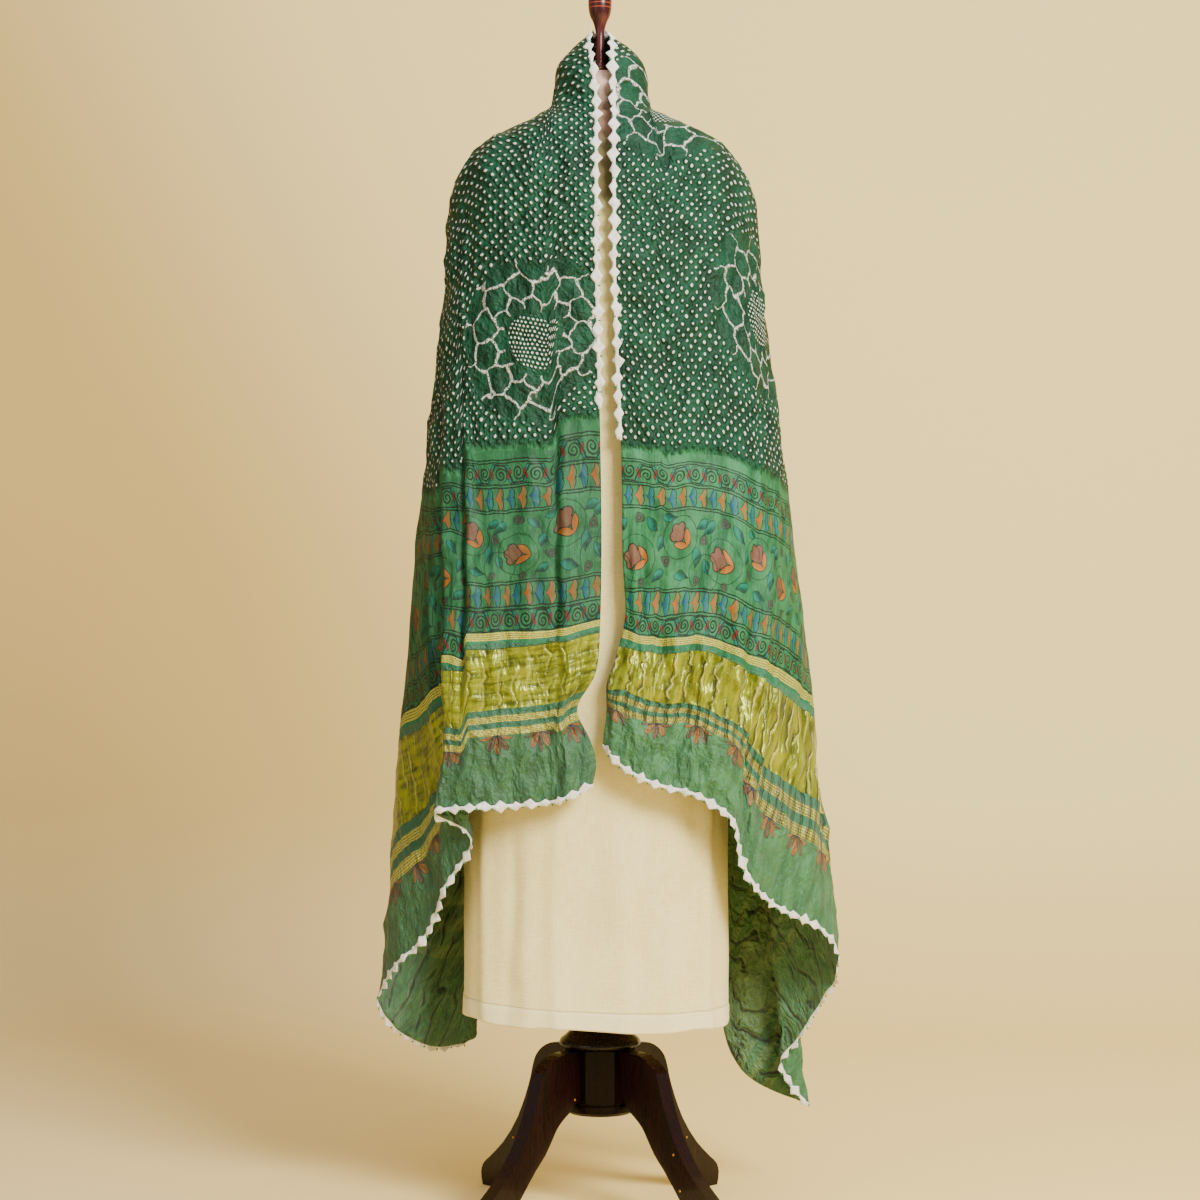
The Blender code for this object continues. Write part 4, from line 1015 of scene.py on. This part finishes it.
def stitch_green():
    g = Graph("stitch_green")
    x, y, z = g.place()
    field = g.noise(x / 0.8, y / 0.8, z / 0.8, 1.0)
    return g.finish(g.mix(field, srgb(20, 96, 58), srgb(48, 138, 86)), 0.7, field, 0.0004)


def linen_cover():
    """Cream plain-weave linen with slubs."""
    g = Graph("linen_cream")
    x, y, z = g.place()
    slub = g.noise(x / 14.0, y / 14.0, z / 1.1, 3.0, 0.6)
    fall = g.noise(x / 1.1, y / 1.1, z / 18.0, 3.0, 0.6)
    broad = g.noise(x / 90.0, y / 90.0, z / 150.0, 3.0, 0.6)
    tone = g.ramp(slub * 0.4 + fall * 0.35 + broad * 0.25, 0.36, 0.62)
    colour = g.mix(tone, srgb(231, 213, 142), srgb(248, 235, 170))
    # Painted shade: the cover turns darker olive from 1.25 m up, where the cloth over the shoulders shades its top;
    # from 1.34 m up it turns pinkish brown.
    colour = g.mix(g.ramp(z, 1246.0, 1276.0), colour, srgb(112, 100, 58))
    colour = g.mix(g.ramp(z, 1340.0, 1362.0), colour, srgb(150, 112, 88))
    above = z - HEM_SEAM * 1000 - (x * 0.00018 - 0.035) * x  # the seam follows the lower edge's curve
    seam = g.line(above, 1.5)
    colour = g.mix(g.ramp(above, 0.5, -0.5) * 0.25, colour, srgb(252, 246, 216))
    colour = g.mix(seam * 0.28, colour, srgb(176, 156, 100))
    height = slub * 0.4 + fall * 0.4 + g.sin(z * 5.5) * g.sin(x * 5.5) * 0.12 - seam * 1.2
    return g.finish(colour, 0.85, height, 0.0007, sheen_weight=0.2)


def form_cloth():
    """The form's own skin, paler at the neck's cap."""
    g = Graph("form_skin_matt")
    x, y, z = g.place()
    field = g.noise(x / 2.2, y / 2.2, z / 2.2, 3.0)
    broad = g.noise(x / 40.0, y / 40.0, z / 40.0, 2.0)
    colour = g.mix(g.ramp(z + (broad - 0.5) * 20.0, 1398.0, 1428.0), srgb(134, 104, 80), srgb(206, 168, 148))
    colour = g.mix(g.ramp(z, 1330.0, 1250.0), colour, srgb(150, 132, 96))
    return g.finish(colour, 0.55, field + g.sin(x * 4.0) * g.sin(z * 4.0) * 0.2, 0.0003, sheen_weight=0.1)


def varnished_wood(name, dark, light, rings=(), shine=0.2):
    """Dark varnished wood with a faint straight grain, and fine orange lines turned into it."""
    g = Graph(name)
    x, y, z = g.place()
    grain = g.noise(x / 9.0, y / 9.0, z / 90.0, 2.0)
    pores = g.noise(x / 1.2, y / 1.2, z / 20.0, 2.0)
    colour = g.mix(g.ramp(grain, 0.35, 0.68), dark, light)
    for level in rings:
        colour = g.mix(g.line(z - level, 1.3) * 0.8, colour, srgb(150, 62, 34))
    roughness = 0.26 + g.ramp(pores, 0.40, 0.75) * 0.08
    return g.finish(colour, roughness, specular_ior_level=shine, coat_weight=shine, coat_roughness=0.08)


def brass_metal():
    g = Graph("brass_worn")
    x, y, z = g.place()
    field = g.noise(x / 2.0, y / 2.0, z / 2.0, 3.0)
    colour = g.mix(field, srgb(168, 108, 40), srgb(214, 158, 78))
    return g.finish(colour, 0.25 + field * 0.2, field, 0.0002, metallic=1.0)


# ---------------------------------------------------------------- making pieces
def new_piece(name, points, faces, materials, indices=None):
    mesh = bpy.data.meshes.new(name)
    mesh.from_pydata(points, [], faces)
    for material in materials:
        mesh.materials.append(material)
    if indices is not None:
        mesh.polygons.foreach_set("material_index", np.asarray(indices, np.int32))
    mesh.shade_smooth()
    mesh.update()
    thing = bpy.data.objects.new(name, mesh)
    bpy.context.scene.collection.objects.link(thing)
    return thing


def face_outward(mesh):
    bm = bmesh.new()
    bm.from_mesh(mesh)
    bmesh.ops.recalc_face_normals(bm, faces=bm.faces)
    bm.to_mesh(mesh)
    bm.free()


def paint(node, material):
    """Gives a CAD mesh one material in place of its own."""
    node.data.materials.clear()
    node.data.materials.append(material)


def add_uv(mesh, name, per_vertex):
    """A UV map from one pair of values for each vertex."""
    layer = mesh.uv_layers.new(name=name)
    index = np.empty(len(mesh.loops), np.int32)
    mesh.loops.foreach_get("vertex_index", index)
    layer.data.foreach_set("uv", np.asarray(per_vertex, np.float32)[index].ravel())


def cloth_places():
    """Where the visual cloth's columns and rows are, in fabric metres. They are closer in front and in the borders."""
    dyed_to, painted_to, front_to = REACH - 0.502, REACH - PAINTED_FROM, 0.32
    spans = ((0.0, dyed_to, 88), (dyed_to, painted_to, 41), (painted_to, REACH, 44))
    out = np.concatenate([np.linspace(low, high, count + 1)[1:] for low, high, count in spans])
    fine, coarse = np.linspace(0, front_to, 86), np.linspace(front_to, CLOTH_WIDTH, 53)[1:]
    return np.concatenate([-out[::-1], [0.0], out]), np.concatenate([fine, coarse])


def rim_of(index):
    """The numbers round the edge of a grid of them, and the one that follows each."""
    rim = np.concatenate([index[0], index[1:, -1], index[-1, -2::-1], index[-2:0:-1, 0]])
    return rim, np.roll(rim, -1)


# Where the dyed material and the painted one start, from the short end, in the weave.
DYED_SLOT_FROM, PAINTED_SLOT_FROM = 0.478, 0.2295
# How the two faces of the cloth share the baking map: scale and start of each.
BAKE_FRONT, BAKE_BACK = ((0.998, 0.748), (0.001, 0.001)), ((0.998, 0.238), (0.001, 0.759))


def make_cloth():
    """The cloth with its thickness. Returns its middle surface too, with the way it faces, for the lace."""
    run, across = cloth_places()
    middle, facing = surface(run, across)
    # The point midway in each cell says which of its diagonals lies nearer the cloth.
    between, _ = surface((run[1:] + run[:-1]) / 2, (across[1:] + across[:-1]) / 2)
    rows, count = middle.shape[:2]
    normals = grid_normals(middle)
    normals = spread_out(np.where(np.sum(normals * facing, axis=2, keepdims=True) > 0.2, normals, facing))
    front = (middle + normals * CLOTH_SHEET_THICK / 2).reshape(-1, 3)
    back = (middle - normals * CLOTH_SHEET_THICK / 2).reshape(-1, 3)
    index = np.arange(rows * count).reshape(rows, count)
    a, b, c, d = index[:-1, :-1], index[:-1, 1:], index[1:, 1:], index[1:, :-1]
    falling = np.linalg.norm((middle[:-1, :-1] + middle[1:, 1:]) / 2 - between, axis=2)
    rising = np.linalg.norm((middle[:-1, 1:] + middle[1:, :-1]) / 2 - between, axis=2)
    swap = rising < falling
    first = np.where(swap[..., None], np.stack([b, c, d], -1), np.stack([a, b, c], -1)).reshape(-1, 3)
    second = np.where(swap[..., None], np.stack([b, d, a], -1), np.stack([a, c, d], -1)).reshape(-1, 3)
    right_side = np.stack([first, second], 1).reshape(-1, 3)
    under = rows * count
    rim, there = rim_of(index)
    edge = np.stack([rim, rim + under, there + under, there], 1)
    faces = right_side.tolist() + (right_side[:, ::-1] + under).tolist() + edge.tolist()
    run_grid, across_grid = np.meshgrid(run, across)
    levels = np.where(
        run_grid < 0, weave_level(LEFT, REACH - np.abs(run_grid), across_grid),
        weave_level(RIGHT, REACH - np.abs(run_grid), across_grid),
    )
    mid = (levels[:-1, :-1] + levels[1:, 1:]) / 2
    part = np.where(mid > DYED_SLOT_FROM, 0, np.where(mid > PAINTED_SLOT_FROM, 1, 2))
    part = np.repeat(part.reshape(-1), 2)
    slots = np.concatenate([part, np.full(len(part), 3), np.zeros(len(edge), int)])
    cloth = new_piece(
        "bandhani_cloth", np.concatenate([front, back]).tolist(), faces,
        [dyed_silk(), painted_silk(), woven_ends(), wrong_side()], indices=slots,
    )
    woven = np.stack([np.sign(run_grid) * (REACH - levels), across_grid], -1).reshape(-1, 2)
    add_uv(cloth.data, "Fabric", np.concatenate([woven, woven]))
    share = np.stack([(run_grid + REACH) / (2 * REACH), across_grid / CLOTH_WIDTH], -1).reshape(-1, 2)
    bake = np.concatenate([share * scale + start for scale, start in (BAKE_FRONT, BAKE_BACK)])
    add_uv(cloth.data, "OFBake", bake)
    # The rim's faces, which come last, all lie on the front's edge in the baking map.
    corners = np.empty(len(cloth.data.loops), np.int32)
    cloth.data.loops.foreach_get("vertex_index", corners)
    values = bake[corners].astype(np.float32)
    rim_start = len(corners) - edge.size
    values[rim_start:] = bake[corners[rim_start:] % under]
    cloth.data.uv_layers["OFBake"].data.foreach_set("uv", values.ravel())
    return cloth, middle, normals, run


LACE_STEP = {"long": 0.0215, "short": 0.0190}
LACE_SIZE = {"long": (0.0215, 0.0138), "short": (0.0185, 0.0130)}  # along the edge, and out and in from it


def lace_comb(name, edge, outward, normals, kind, lace, stitch):
    """A row of flat crocheted diamonds sewn over an edge, joined by a narrow heading, with small green stitches."""
    way = way_along(edge)
    long_way, wide = LACE_SIZE[kind]
    whole = max(int(way[-1] / LACE_STEP[kind]), 1)
    step = way[-1] / whole
    rng = np.random.default_rng(len(name) * 7 + whole)

    def at(table, place):
        return np.stack([np.interp(place, way, table[:, axis]) for axis in range(3)], -1)

    points, faces, slots = [], [], []

    def add_patch(grid, material):
        """A closed pillow on a square grid of (place, out, lift, thickness)."""
        size = grid.shape[0]
        place, out, lift, thick = np.moveaxis(grid, -1, 0)
        base = at(edge, place.ravel()).reshape(size, size, 3)
        to_out = at(outward, place.ravel()).reshape(size, size, 3)
        up = at(normals, place.ravel()).reshape(size, size, 3)
        to_out /= np.linalg.norm(to_out, axis=2, keepdims=True)
        up /= np.linalg.norm(up, axis=2, keepdims=True)
        top = base + to_out * out[..., None] + up * (lift + thick)[..., None]
        bottom = base + to_out * out[..., None] + up * lift[..., None]
        start = len(points)
        points.extend(top.reshape(-1, 3).tolist())
        points.extend(bottom.reshape(-1, 3).tolist())
        under = size * size
        index = start + np.arange(under).reshape(size, size)
        quads = np.stack([index[:-1, :-1], index[:-1, 1:], index[1:, 1:], index[1:, :-1]], -1).reshape(-1, 4)
        rim, there = rim_of(index)
        patch_faces = np.stack([quads, quads[:, ::-1] + under], 1).reshape(-1, 4).tolist()
        patch_faces += np.stack([rim, rim + under, there + under, there], 1).tolist()
        faces.extend(patch_faces)
        slots.extend([material] * len(patch_faces))

    size = 7
    s, t = np.meshgrid(np.linspace(-1, 1, size), np.linspace(-1, 1, size))
    for number in range(whole):
        middle = step * (number + 0.5)
        wobble = rng.uniform(-1, 1, 4)
        # A square turned on its corner, with slightly rounded sides.
        a, b = (s + t) / 2, (t - s) / 2
        bulge = 1 + 0.10 * (1 - np.abs(s)) * (1 - np.abs(t))
        place = middle + a * bulge * long_way / 2 * (1 + 0.20 * wobble[0])
        out = 0.0005 + b * bulge * wide / 2 * (1 + 0.26 * wobble[1]) + (0.0014 + 0.0022 * a) * wobble[2]
        round_edge = 1 - np.maximum(np.abs(s), np.abs(t)) ** 4
        ribs = 0.5 + 0.5 * np.cos(np.maximum(np.abs(s), np.abs(t)) * 9)
        thick = 0.0005 + (0.0008 + 0.0004 * ribs) * round_edge
        lift = 0.0006 + 0.0022 * wobble[3] * (b > 0.2) * b
        add_patch(np.stack([place, out, lift, thick], -1), 0)
        # The stitch that holds it.
        small, flat = np.meshgrid(np.linspace(-1, 1, 3), np.linspace(-1, 1, 3))
        offset = middle + step / 2 + 0.0006 * wobble[1]
        reach_out = 0.0028 + 0.0012 * wobble[2]
        if number % 2 == 0 or kind == "short":
            level = np.ones_like(small)
            stitch_grid = (offset + small * 0.0009, reach_out + flat * 0.0018, 0.0007 * level, 0.0008 * level)
            add_patch(np.stack(stitch_grid, -1), 1)
    # The heading that joins the diamonds.
    count = max(int(way[-1] / 0.004), 4)
    places = np.linspace(0.0, way[-1], count)
    base, to_out, up = at(edge, places), at(outward, places), at(normals, places)
    wave = 0.0010 * np.cos(places / step * math.tau)
    start = len(points)
    corners = ((-0.0016, 0.0006), (0.0030, 0.0006), (0.0030, 0.0015), (-0.0016, 0.0015))
    for out, lift in corners:
        points.extend((base + to_out * (out - wave * (out > 0))[:, None] + up * lift).tolist())
    for k in range(count - 1):
        for side in range(4):
            one, other = start + side * count, start + (side + 1) % 4 * count
            faces.append((one + k, one + k + 1, other + k + 1, other + k))
            slots.append(0)
    faces.append(tuple(start + side * count for side in range(4)))
    faces.append(tuple(start + side * count + count - 1 for side in (3, 2, 1, 0)))
    slots.extend((0, 0))
    comb = new_piece(name, points, faces, [lace, stitch], indices=slots)
    face_outward(comb.data)
    return comb


def edge_ways(edge, inside, normals):
    """Which way is outward from the cloth at each point of an edge."""
    outward = np.cross(np.gradient(edge, axis=0), normals)
    outward *= np.sign(np.sum(outward * (edge - inside), axis=1, keepdims=True))
    outward /= np.linalg.norm(outward, axis=1, keepdims=True)
    for _ in range(3):
        padded = np.pad(outward, ((1, 1), (0, 0)), mode="edge")
        outward = padded[:-2] + 2 * padded[1:-1] + padded[2:]
        outward /= np.linalg.norm(outward, axis=1, keepdims=True)
    return outward


NECK_LACE = (-0.536, 0.598)  # along, where the inner edge's lace starts on the left and stops on the right


def make_lace(middle, normals, run):
    lace, stitch = lace_cotton(), stitch_green()
    dotted = np.abs(run) <= LACE_REACH + 0.02
    neck = (run >= NECK_LACE[0]) & (run <= NECK_LACE[1])
    made = []
    for name, node, picked, kind in (
        ("lace_neck_diamonds", "lace_neck", (np.s_[0, neck], np.s_[2, neck]), "long"),
        ("lace_back_diamonds", "lace_back", (np.s_[-1, dotted], np.s_[-3, dotted]), "long"),
        ("lace_left_end_diamonds", "lace_left_end", (np.s_[:, 0], np.s_[:, 2]), "short"),
        ("lace_right_end_diamonds", "lace_right_end", (np.s_[:, -1], np.s_[:, -3]), "short"),
    ):
        edge, inside, facing = middle[picked[0]], middle[picked[1]], normals[picked[0]]
        comb = lace_comb(name, edge, edge_ways(edge, inside, facing), facing, kind, lace, stitch)
        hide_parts(node)
        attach(comb, "root")
        made.append(comb)
    return made


# ---------------------------------------------------------------- the form's cover
COVER_SECTIONS = (  # height, half width, front, back
    (0.239, 0.1715, 0.1155, 0.1155), (0.270, 0.1708, 0.1148, 0.1148), (0.500, 0.1695, 0.1135, 0.1115),
    (0.800, 0.1685, 0.1135, 0.1095), (1.050, 0.1695, 0.1145, 0.1075), (1.150, 0.1735, 0.1155, 0.1075),
    (1.200, 0.1765, 0.1145, 0.1065), (1.260, 0.1780, 0.1040, 0.1005), (1.300, 0.1680, 0.0940, 0.0900),
    (1.330, 0.1460, 0.0820, 0.0800), (1.350, 0.1060, 0.0720, 0.0700), (1.366, 0.0680, 0.0620, 0.0600),
    (1.384, 0.0540, 0.0540, 0.0520),
)
# Soft folds that hang down the cover: where each is round it (degrees, -90 in front), its width in degrees, how
# deep it is, and the heights between which it shows.
COVER_FOLDS = (
    (-62.0, 5.0, 0.0035, 0.24, 0.62), (-75.0, 3.5, -0.0022, 0.30, 0.70), (-84.0, 3.0, 0.0022, 0.24, 0.60),
    (-93.0, 4.0, -0.0020, 0.26, 0.75), (-101.0, 3.0, 0.0026, 0.24, 0.66), (-113.0, 4.0, 0.0030, 0.24, 0.55),
    (-124.0, 4.0, -0.0030, 0.24, 0.60), (-38.0, 5.0, 0.0040, 0.24, 0.70), (-48.0, 4.0, -0.0026, 0.24, 0.60),
    (-140.0, 5.0, 0.0034, 0.24, 0.75), (20.0, 6.0, 0.0030, 0.24, 0.80), (60.0, 6.0, -0.0026, 0.24, 0.70),
    (95.0, 5.0, 0.0034, 0.24, 0.66), (130.0, 6.0, -0.0030, 0.24, 0.70), (165.0, 6.0, 0.0032, 0.24, 0.80),
)


COVER_THICK = 0.0012
COVER_SQUARENESS = 2.6  # of its sections: 2 is an ellipse
HEM_SEAM = 0.2627  # the height of the hem's stitched line


def make_cover():
    """The slip cover: a thin tube that hangs in soft folds, with a turned-up hem and an uneven lower edge."""
    around = 240
    table = np.array(COVER_SECTIONS)
    levels = np.concatenate([np.linspace(0.2395, 0.290, 24)[:-1], np.linspace(0.290, 1.384, 87)])
    turns = np.linspace(0, math.tau, around, endpoint=False)
    turn_grid, level_grid = np.meshgrid(turns, levels)
    width, front, back = (through(table[:, 0], table[:, k], level_grid) for k in (1, 2, 3))
    depth = np.where(np.sin(turn_grid) > 0, back, front)
    reach_x, reach_y = (
        np.sign(way) * np.abs(way) ** (2 / COVER_SQUARENESS) for way in (np.cos(turn_grid), np.sin(turn_grid))
    )
    x, y, z = width * reach_x, depth * reach_y, level_grid.copy()
    out = np.zeros_like(x)
    for degrees, spread, fold_depth, low, high in COVER_FOLDS:
        sway = 1.6 * np.sin(level_grid * 14 + degrees)
        off = (np.degrees(turn_grid) - degrees - sway + 180) % 360 - 180
        shown = smooth_step((high - level_grid) / 0.18) * smooth_step((level_grid - low + 0.06) / 0.06)
        out += fold_depth * np.exp(-((off / spread) ** 2)) * shown
    small_waves = chance(turn_grid * 6, level_grid * 22, 31) - 0.5
    out += 0.0012 * small_waves + 0.0022 * (chance(turn_grid * 3, level_grid * 6, 37) - 0.5)
    # The shawl's weight presses it in at the shoulders.
    out -= 0.0036 * smooth_step((level_grid - 1.13) / 0.07) * smooth_step((1.33 - level_grid) / 0.05)
    # The hem's extra layer stands out a little below its seam, and the lower edge waves.
    out += 0.0011 * smooth_step((HEM_SEAM - level_grid) / 0.003)
    near_hem = smooth_step((0.400 - level_grid) / 0.12)
    out += 0.0048 * near_hem * (chance(turn_grid * 5, level_grid * 18, 41) - 0.55)
    z += near_hem * (0.18 * x * x - 0.035 * x + 0.0014 * np.sin(7 * turn_grid + 1.0))
    # It hangs a little to the left, and its right side is drawn in.
    x -= 0.0085 * smooth_step((1.0 - level_grid) / 0.6) * (0.65 + 0.35 * reach_x)
    length = np.hypot(x, y)
    outer, inner = (
        np.stack([x * (1 + push / length), y * (1 + push / length), z], -1) for push in (out, out - COVER_THICK)
    )
    rings = np.concatenate([outer, inner[::-1]])
    total = len(rings)
    index = np.arange(total * around).reshape(total, around)
    after = np.roll(index, -1, axis=1)
    faces = np.stack([index, after, np.roll(after, -1, axis=0), np.roll(index, -1, axis=0)], -1).reshape(-1, 4)
    cover = new_piece("linen_cover", rings.reshape(-1, 3).tolist(), faces.tolist(), [linen_cover()])
    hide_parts("form_cover")
    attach(cover, "root")


# ---------------------------------------------------------------- turned wood and legs
def lathe(name, profile, base, material, node, around=72, fine=5):
    """A turned solid through (radius, height) points, closed at both ends."""
    points = np.array(profile)
    knots = way_along(points)
    at = np.concatenate([
        np.linspace(low, high, fine, endpoint=False) for low, high in zip(knots, knots[1:])
    ] + [knots[-1:]])
    radii, heights = through(knots, points[:, 0], at), through(knots, points[:, 1], at) + base
    turns = np.linspace(0, math.tau, around, endpoint=False)
    rings = np.stack([
        radii[:, None] * np.cos(turns), radii[:, None] * np.sin(turns), np.repeat(heights[:, None], around, 1),
    ], -1)
    index = np.arange(len(at) * around).reshape(-1, around)
    after = np.roll(index, -1, axis=1)
    faces = np.stack([index[:-1], after[:-1], after[1:], index[1:]], -1).reshape(-1, 4).tolist()
    faces += [index[0][::-1].tolist(), index[-1].tolist()]
    piece = new_piece(name, rings.reshape(-1, 3).tolist(), faces, [material])
    piece.data.set_sharp_from_angle(angle=math.radians(40))
    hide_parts(node)
    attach(piece, "root")


FINIAL_TURNING = (
    (0.0105, 0.0), (0.0105, 0.0024), (0.0082, 0.0050), (0.0064, 0.0200), (0.0055, 0.0400), (0.0060, 0.0500),
    (0.0085, 0.0600), (0.0130, 0.0700), (0.0149, 0.0820), (0.0146, 0.0920), (0.0120, 0.1020), (0.0085, 0.1090),
    (0.0045, 0.1130),
)
COLLAR_TURNING = (
    (0.0260, 0.2052), (0.0480, 0.2056), (0.0515, 0.2085), (0.0510, 0.2130), (0.0440, 0.2195), (0.0380, 0.2260),
    (0.0340, 0.2400), (0.0340, 0.2616),
)
SCREWS = (  # leg heading, distance out, height, side of the leg
    (-135.0, 0.0543, 0.1440, 1), (-45.0, 0.138, 0.0867, -1), (-45.0, 0.149, 0.0437, -1), (45.0, 0.150, 0.0700, -1),
    (135.0, 0.150, 0.0700, 1),
)


LEG_HALF_THICK = 0.01002  # a little over half a leg's thickness
SCREW_SIDES = 14
SCREW_RINGS = ((0.0017, 0.0), (0.0016, 0.0005), (0.0008, 0.0009))  # radius, and how far out from the leg


def make_screws(brass):
    """Small domed screw heads on the sides of the legs."""
    points, faces = [], []
    turns = np.arange(SCREW_SIDES) * math.tau / SCREW_SIDES
    for degrees, out, height, side in SCREWS:
        turn = math.radians(degrees)
        flat = np.array([math.cos(turn), math.sin(turn), 0.0])
        away = side * np.array([-math.sin(turn), math.cos(turn), 0.0])
        centre = np.array([out * math.cos(turn), out * math.sin(turn), height]) + away * LEG_HALF_THICK
        start = len(points)
        for radius, lift in SCREW_RINGS:
            for angle in turns:
                spoke = flat * radius * math.cos(angle) + np.array([0, 0, 1.0]) * radius * math.sin(angle)
                points.append((centre + spoke + away * lift).tolist())
        index = start + np.arange(len(SCREW_RINGS) * SCREW_SIDES).reshape(-1, SCREW_SIDES)
        after = np.roll(index, -1, axis=1)
        faces += np.stack([index[:-1], after[:-1], after[1:], index[1:]], -1).reshape(-1, 4).tolist()
        faces += [index[-1].tolist(), index[0][::-1].tolist()]
    screws = new_piece("brass_screws", points, faces, [brass])
    face_outward(screws.data)
    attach(screws, "root")


def make_wood():
    lathe("finial_turned", FINIAL_TURNING, 1.4436, varnished_wood(
        "wood_finial", srgb(48, 20, 22), srgb(88, 40, 40), rings=(1522.5, 1528.0, 1540.0)), "finial")
    lathe("collar_turned", COLLAR_TURNING, 0.0, varnished_wood(
        "wood_collar", srgb(16, 10, 3), srgb(28, 18, 6)), "stand_collar")
    wood = varnished_wood("wood_legs", srgb(18, 3, 3), srgb(25, 5, 5))
    hub_wood = varnished_wood("wood_hub", srgb(10, 4, 2), srgb(16, 6, 4), shine=0.06)
    for name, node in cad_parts.items():
        if name.startswith("leg_") or name == "stand_hub":
            paint(node, hub_wood if name == "stand_hub" else wood)
            bevel = node.modifiers.new("rounded", "BEVEL")
            bevel.width, bevel.segments, bevel.limit_method = 0.0016, 3, "ANGLE"
            bevel.angle_limit = math.radians(50)
            node.data.shade_smooth()
    brass = brass_metal()
    paint(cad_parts["finial_ring"], brass)
    paint(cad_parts["form_torso"], form_cloth())
    make_screws(brass)


# ---------------------------------------------------------------- stage, lights and camera
PAPER_REACH, PAPER_BEND_FROM, PAPER_BEND, PAPER_TOP = 9.0, 1.4, 0.9, 6.0


def make_stage():
    """A sheet of paper that lies on the floor and bends up into a wall behind."""
    bend = [
        (PAPER_BEND_FROM + PAPER_BEND * math.sin(turn), PAPER_BEND - PAPER_BEND * math.cos(turn))
        for turn in np.linspace(0.15, math.pi / 2, 10)
    ]
    profile = [(-PAPER_REACH, 0.0), (PAPER_BEND_FROM, 0.0), *bend, (PAPER_BEND_FROM + PAPER_BEND, PAPER_TOP)]
    points = [(x, y, z - 0.0002) for x in (-PAPER_REACH, PAPER_REACH) for y, z in profile]
    count = len(profile)
    faces = [(k, count + k, count + k + 1, k + 1) for k in range(count - 1)]
    g = Graph("backdrop_paper")
    x, y, z = g.place()
    # Painted light: the paper is painted brighter towards the right and upwards, and the floor brighter towards the
    # right, as the light falls from the right.
    colour = g.mix(g.ramp(x + z * 0.6 - 190.0, -560.0, 640.0), srgb(216, 186, 114), srgb(255, 234, 164))
    floor = g.mix(g.ramp(x, -900.0, 300.0), srgb(230, 206, 150), srgb(250, 222, 144))
    colour = g.mix(g.ramp(z, 420.0, 0.0) * 0.9, colour, floor)
    # From behind and below, the paper isn't there, so that it hides nothing.
    behind = Wire(g, g.node("ShaderNodeNewGeometry").outputs["Backfacing"])
    g.finish(colour, 0.9, specular_ior_level=0.1, alpha=1.0 - behind)
    backdrop = new_piece("backdrop", points, faces, [g.material])


# Each light's place (3 values), size, power and colour (3 values).
LIGHTS = (
    (1.9, -3.1, 2.7, 1.5, 330.0, 1.0, 0.965, 0.90),
    (-2.8, -3.0, 1.5, 2.2, 20.0, 1.0, 0.97, 0.93),
    (0.4, -1.0, 3.6, 2.2, 56.0, 1.0, 0.98, 0.95),
)


def make_lights():
    for number, (x, y, z, size, watts, *colour) in enumerate(LIGHTS):
        light = bpy.data.lights.new(f"soft_light_{number}", "AREA")
        light.energy, light.size, light.color = watts, size, colour
        thing = bpy.data.objects.new(light.name, light)
        thing.location = (x, y, z)
        away = np.array([x, y, z - 0.85])
        away /= np.linalg.norm(away)
        thing.rotation_euler = (math.acos(away[2]), 0.0, math.atan2(away[1], away[0]) + math.pi / 2)
        bpy.context.scene.collection.objects.link(thing)
    world = bpy.data.worlds.new("room")
    bpy.context.scene.world = world
    world.use_nodes = True
    world.node_tree.nodes["Background"].inputs["Color"].default_value = (1.0, 0.95, 0.87, 1.0)
    world.node_tree.nodes["Background"].inputs["Strength"].default_value = 0.40


CAMERA_BACK, CAMERA_HEIGHT, FRAME_WIDTH = 3.6, 0.771, 1.524


def make_camera():
    camera = bpy.data.cameras.new("camera")
    camera.sensor_width = 36.0
    camera.lens = 36.0 * CAMERA_BACK / FRAME_WIDTH
    thing = bpy.data.objects.new("camera", camera)
    thing.location = (0.0, -CAMERA_BACK, CAMERA_HEIGHT)
    thing.rotation_euler = (math.pi / 2, 0.0, 0.0)
    bpy.context.scene.collection.objects.link(thing)
    bpy.context.scene.camera = thing


make_camera()
make_stage()
make_lights()
cloth, middle, normals, run = make_cloth()
lace = make_lace(middle, normals, run)
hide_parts("cloth")
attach(cloth, "root")
make_cover()
make_wood()
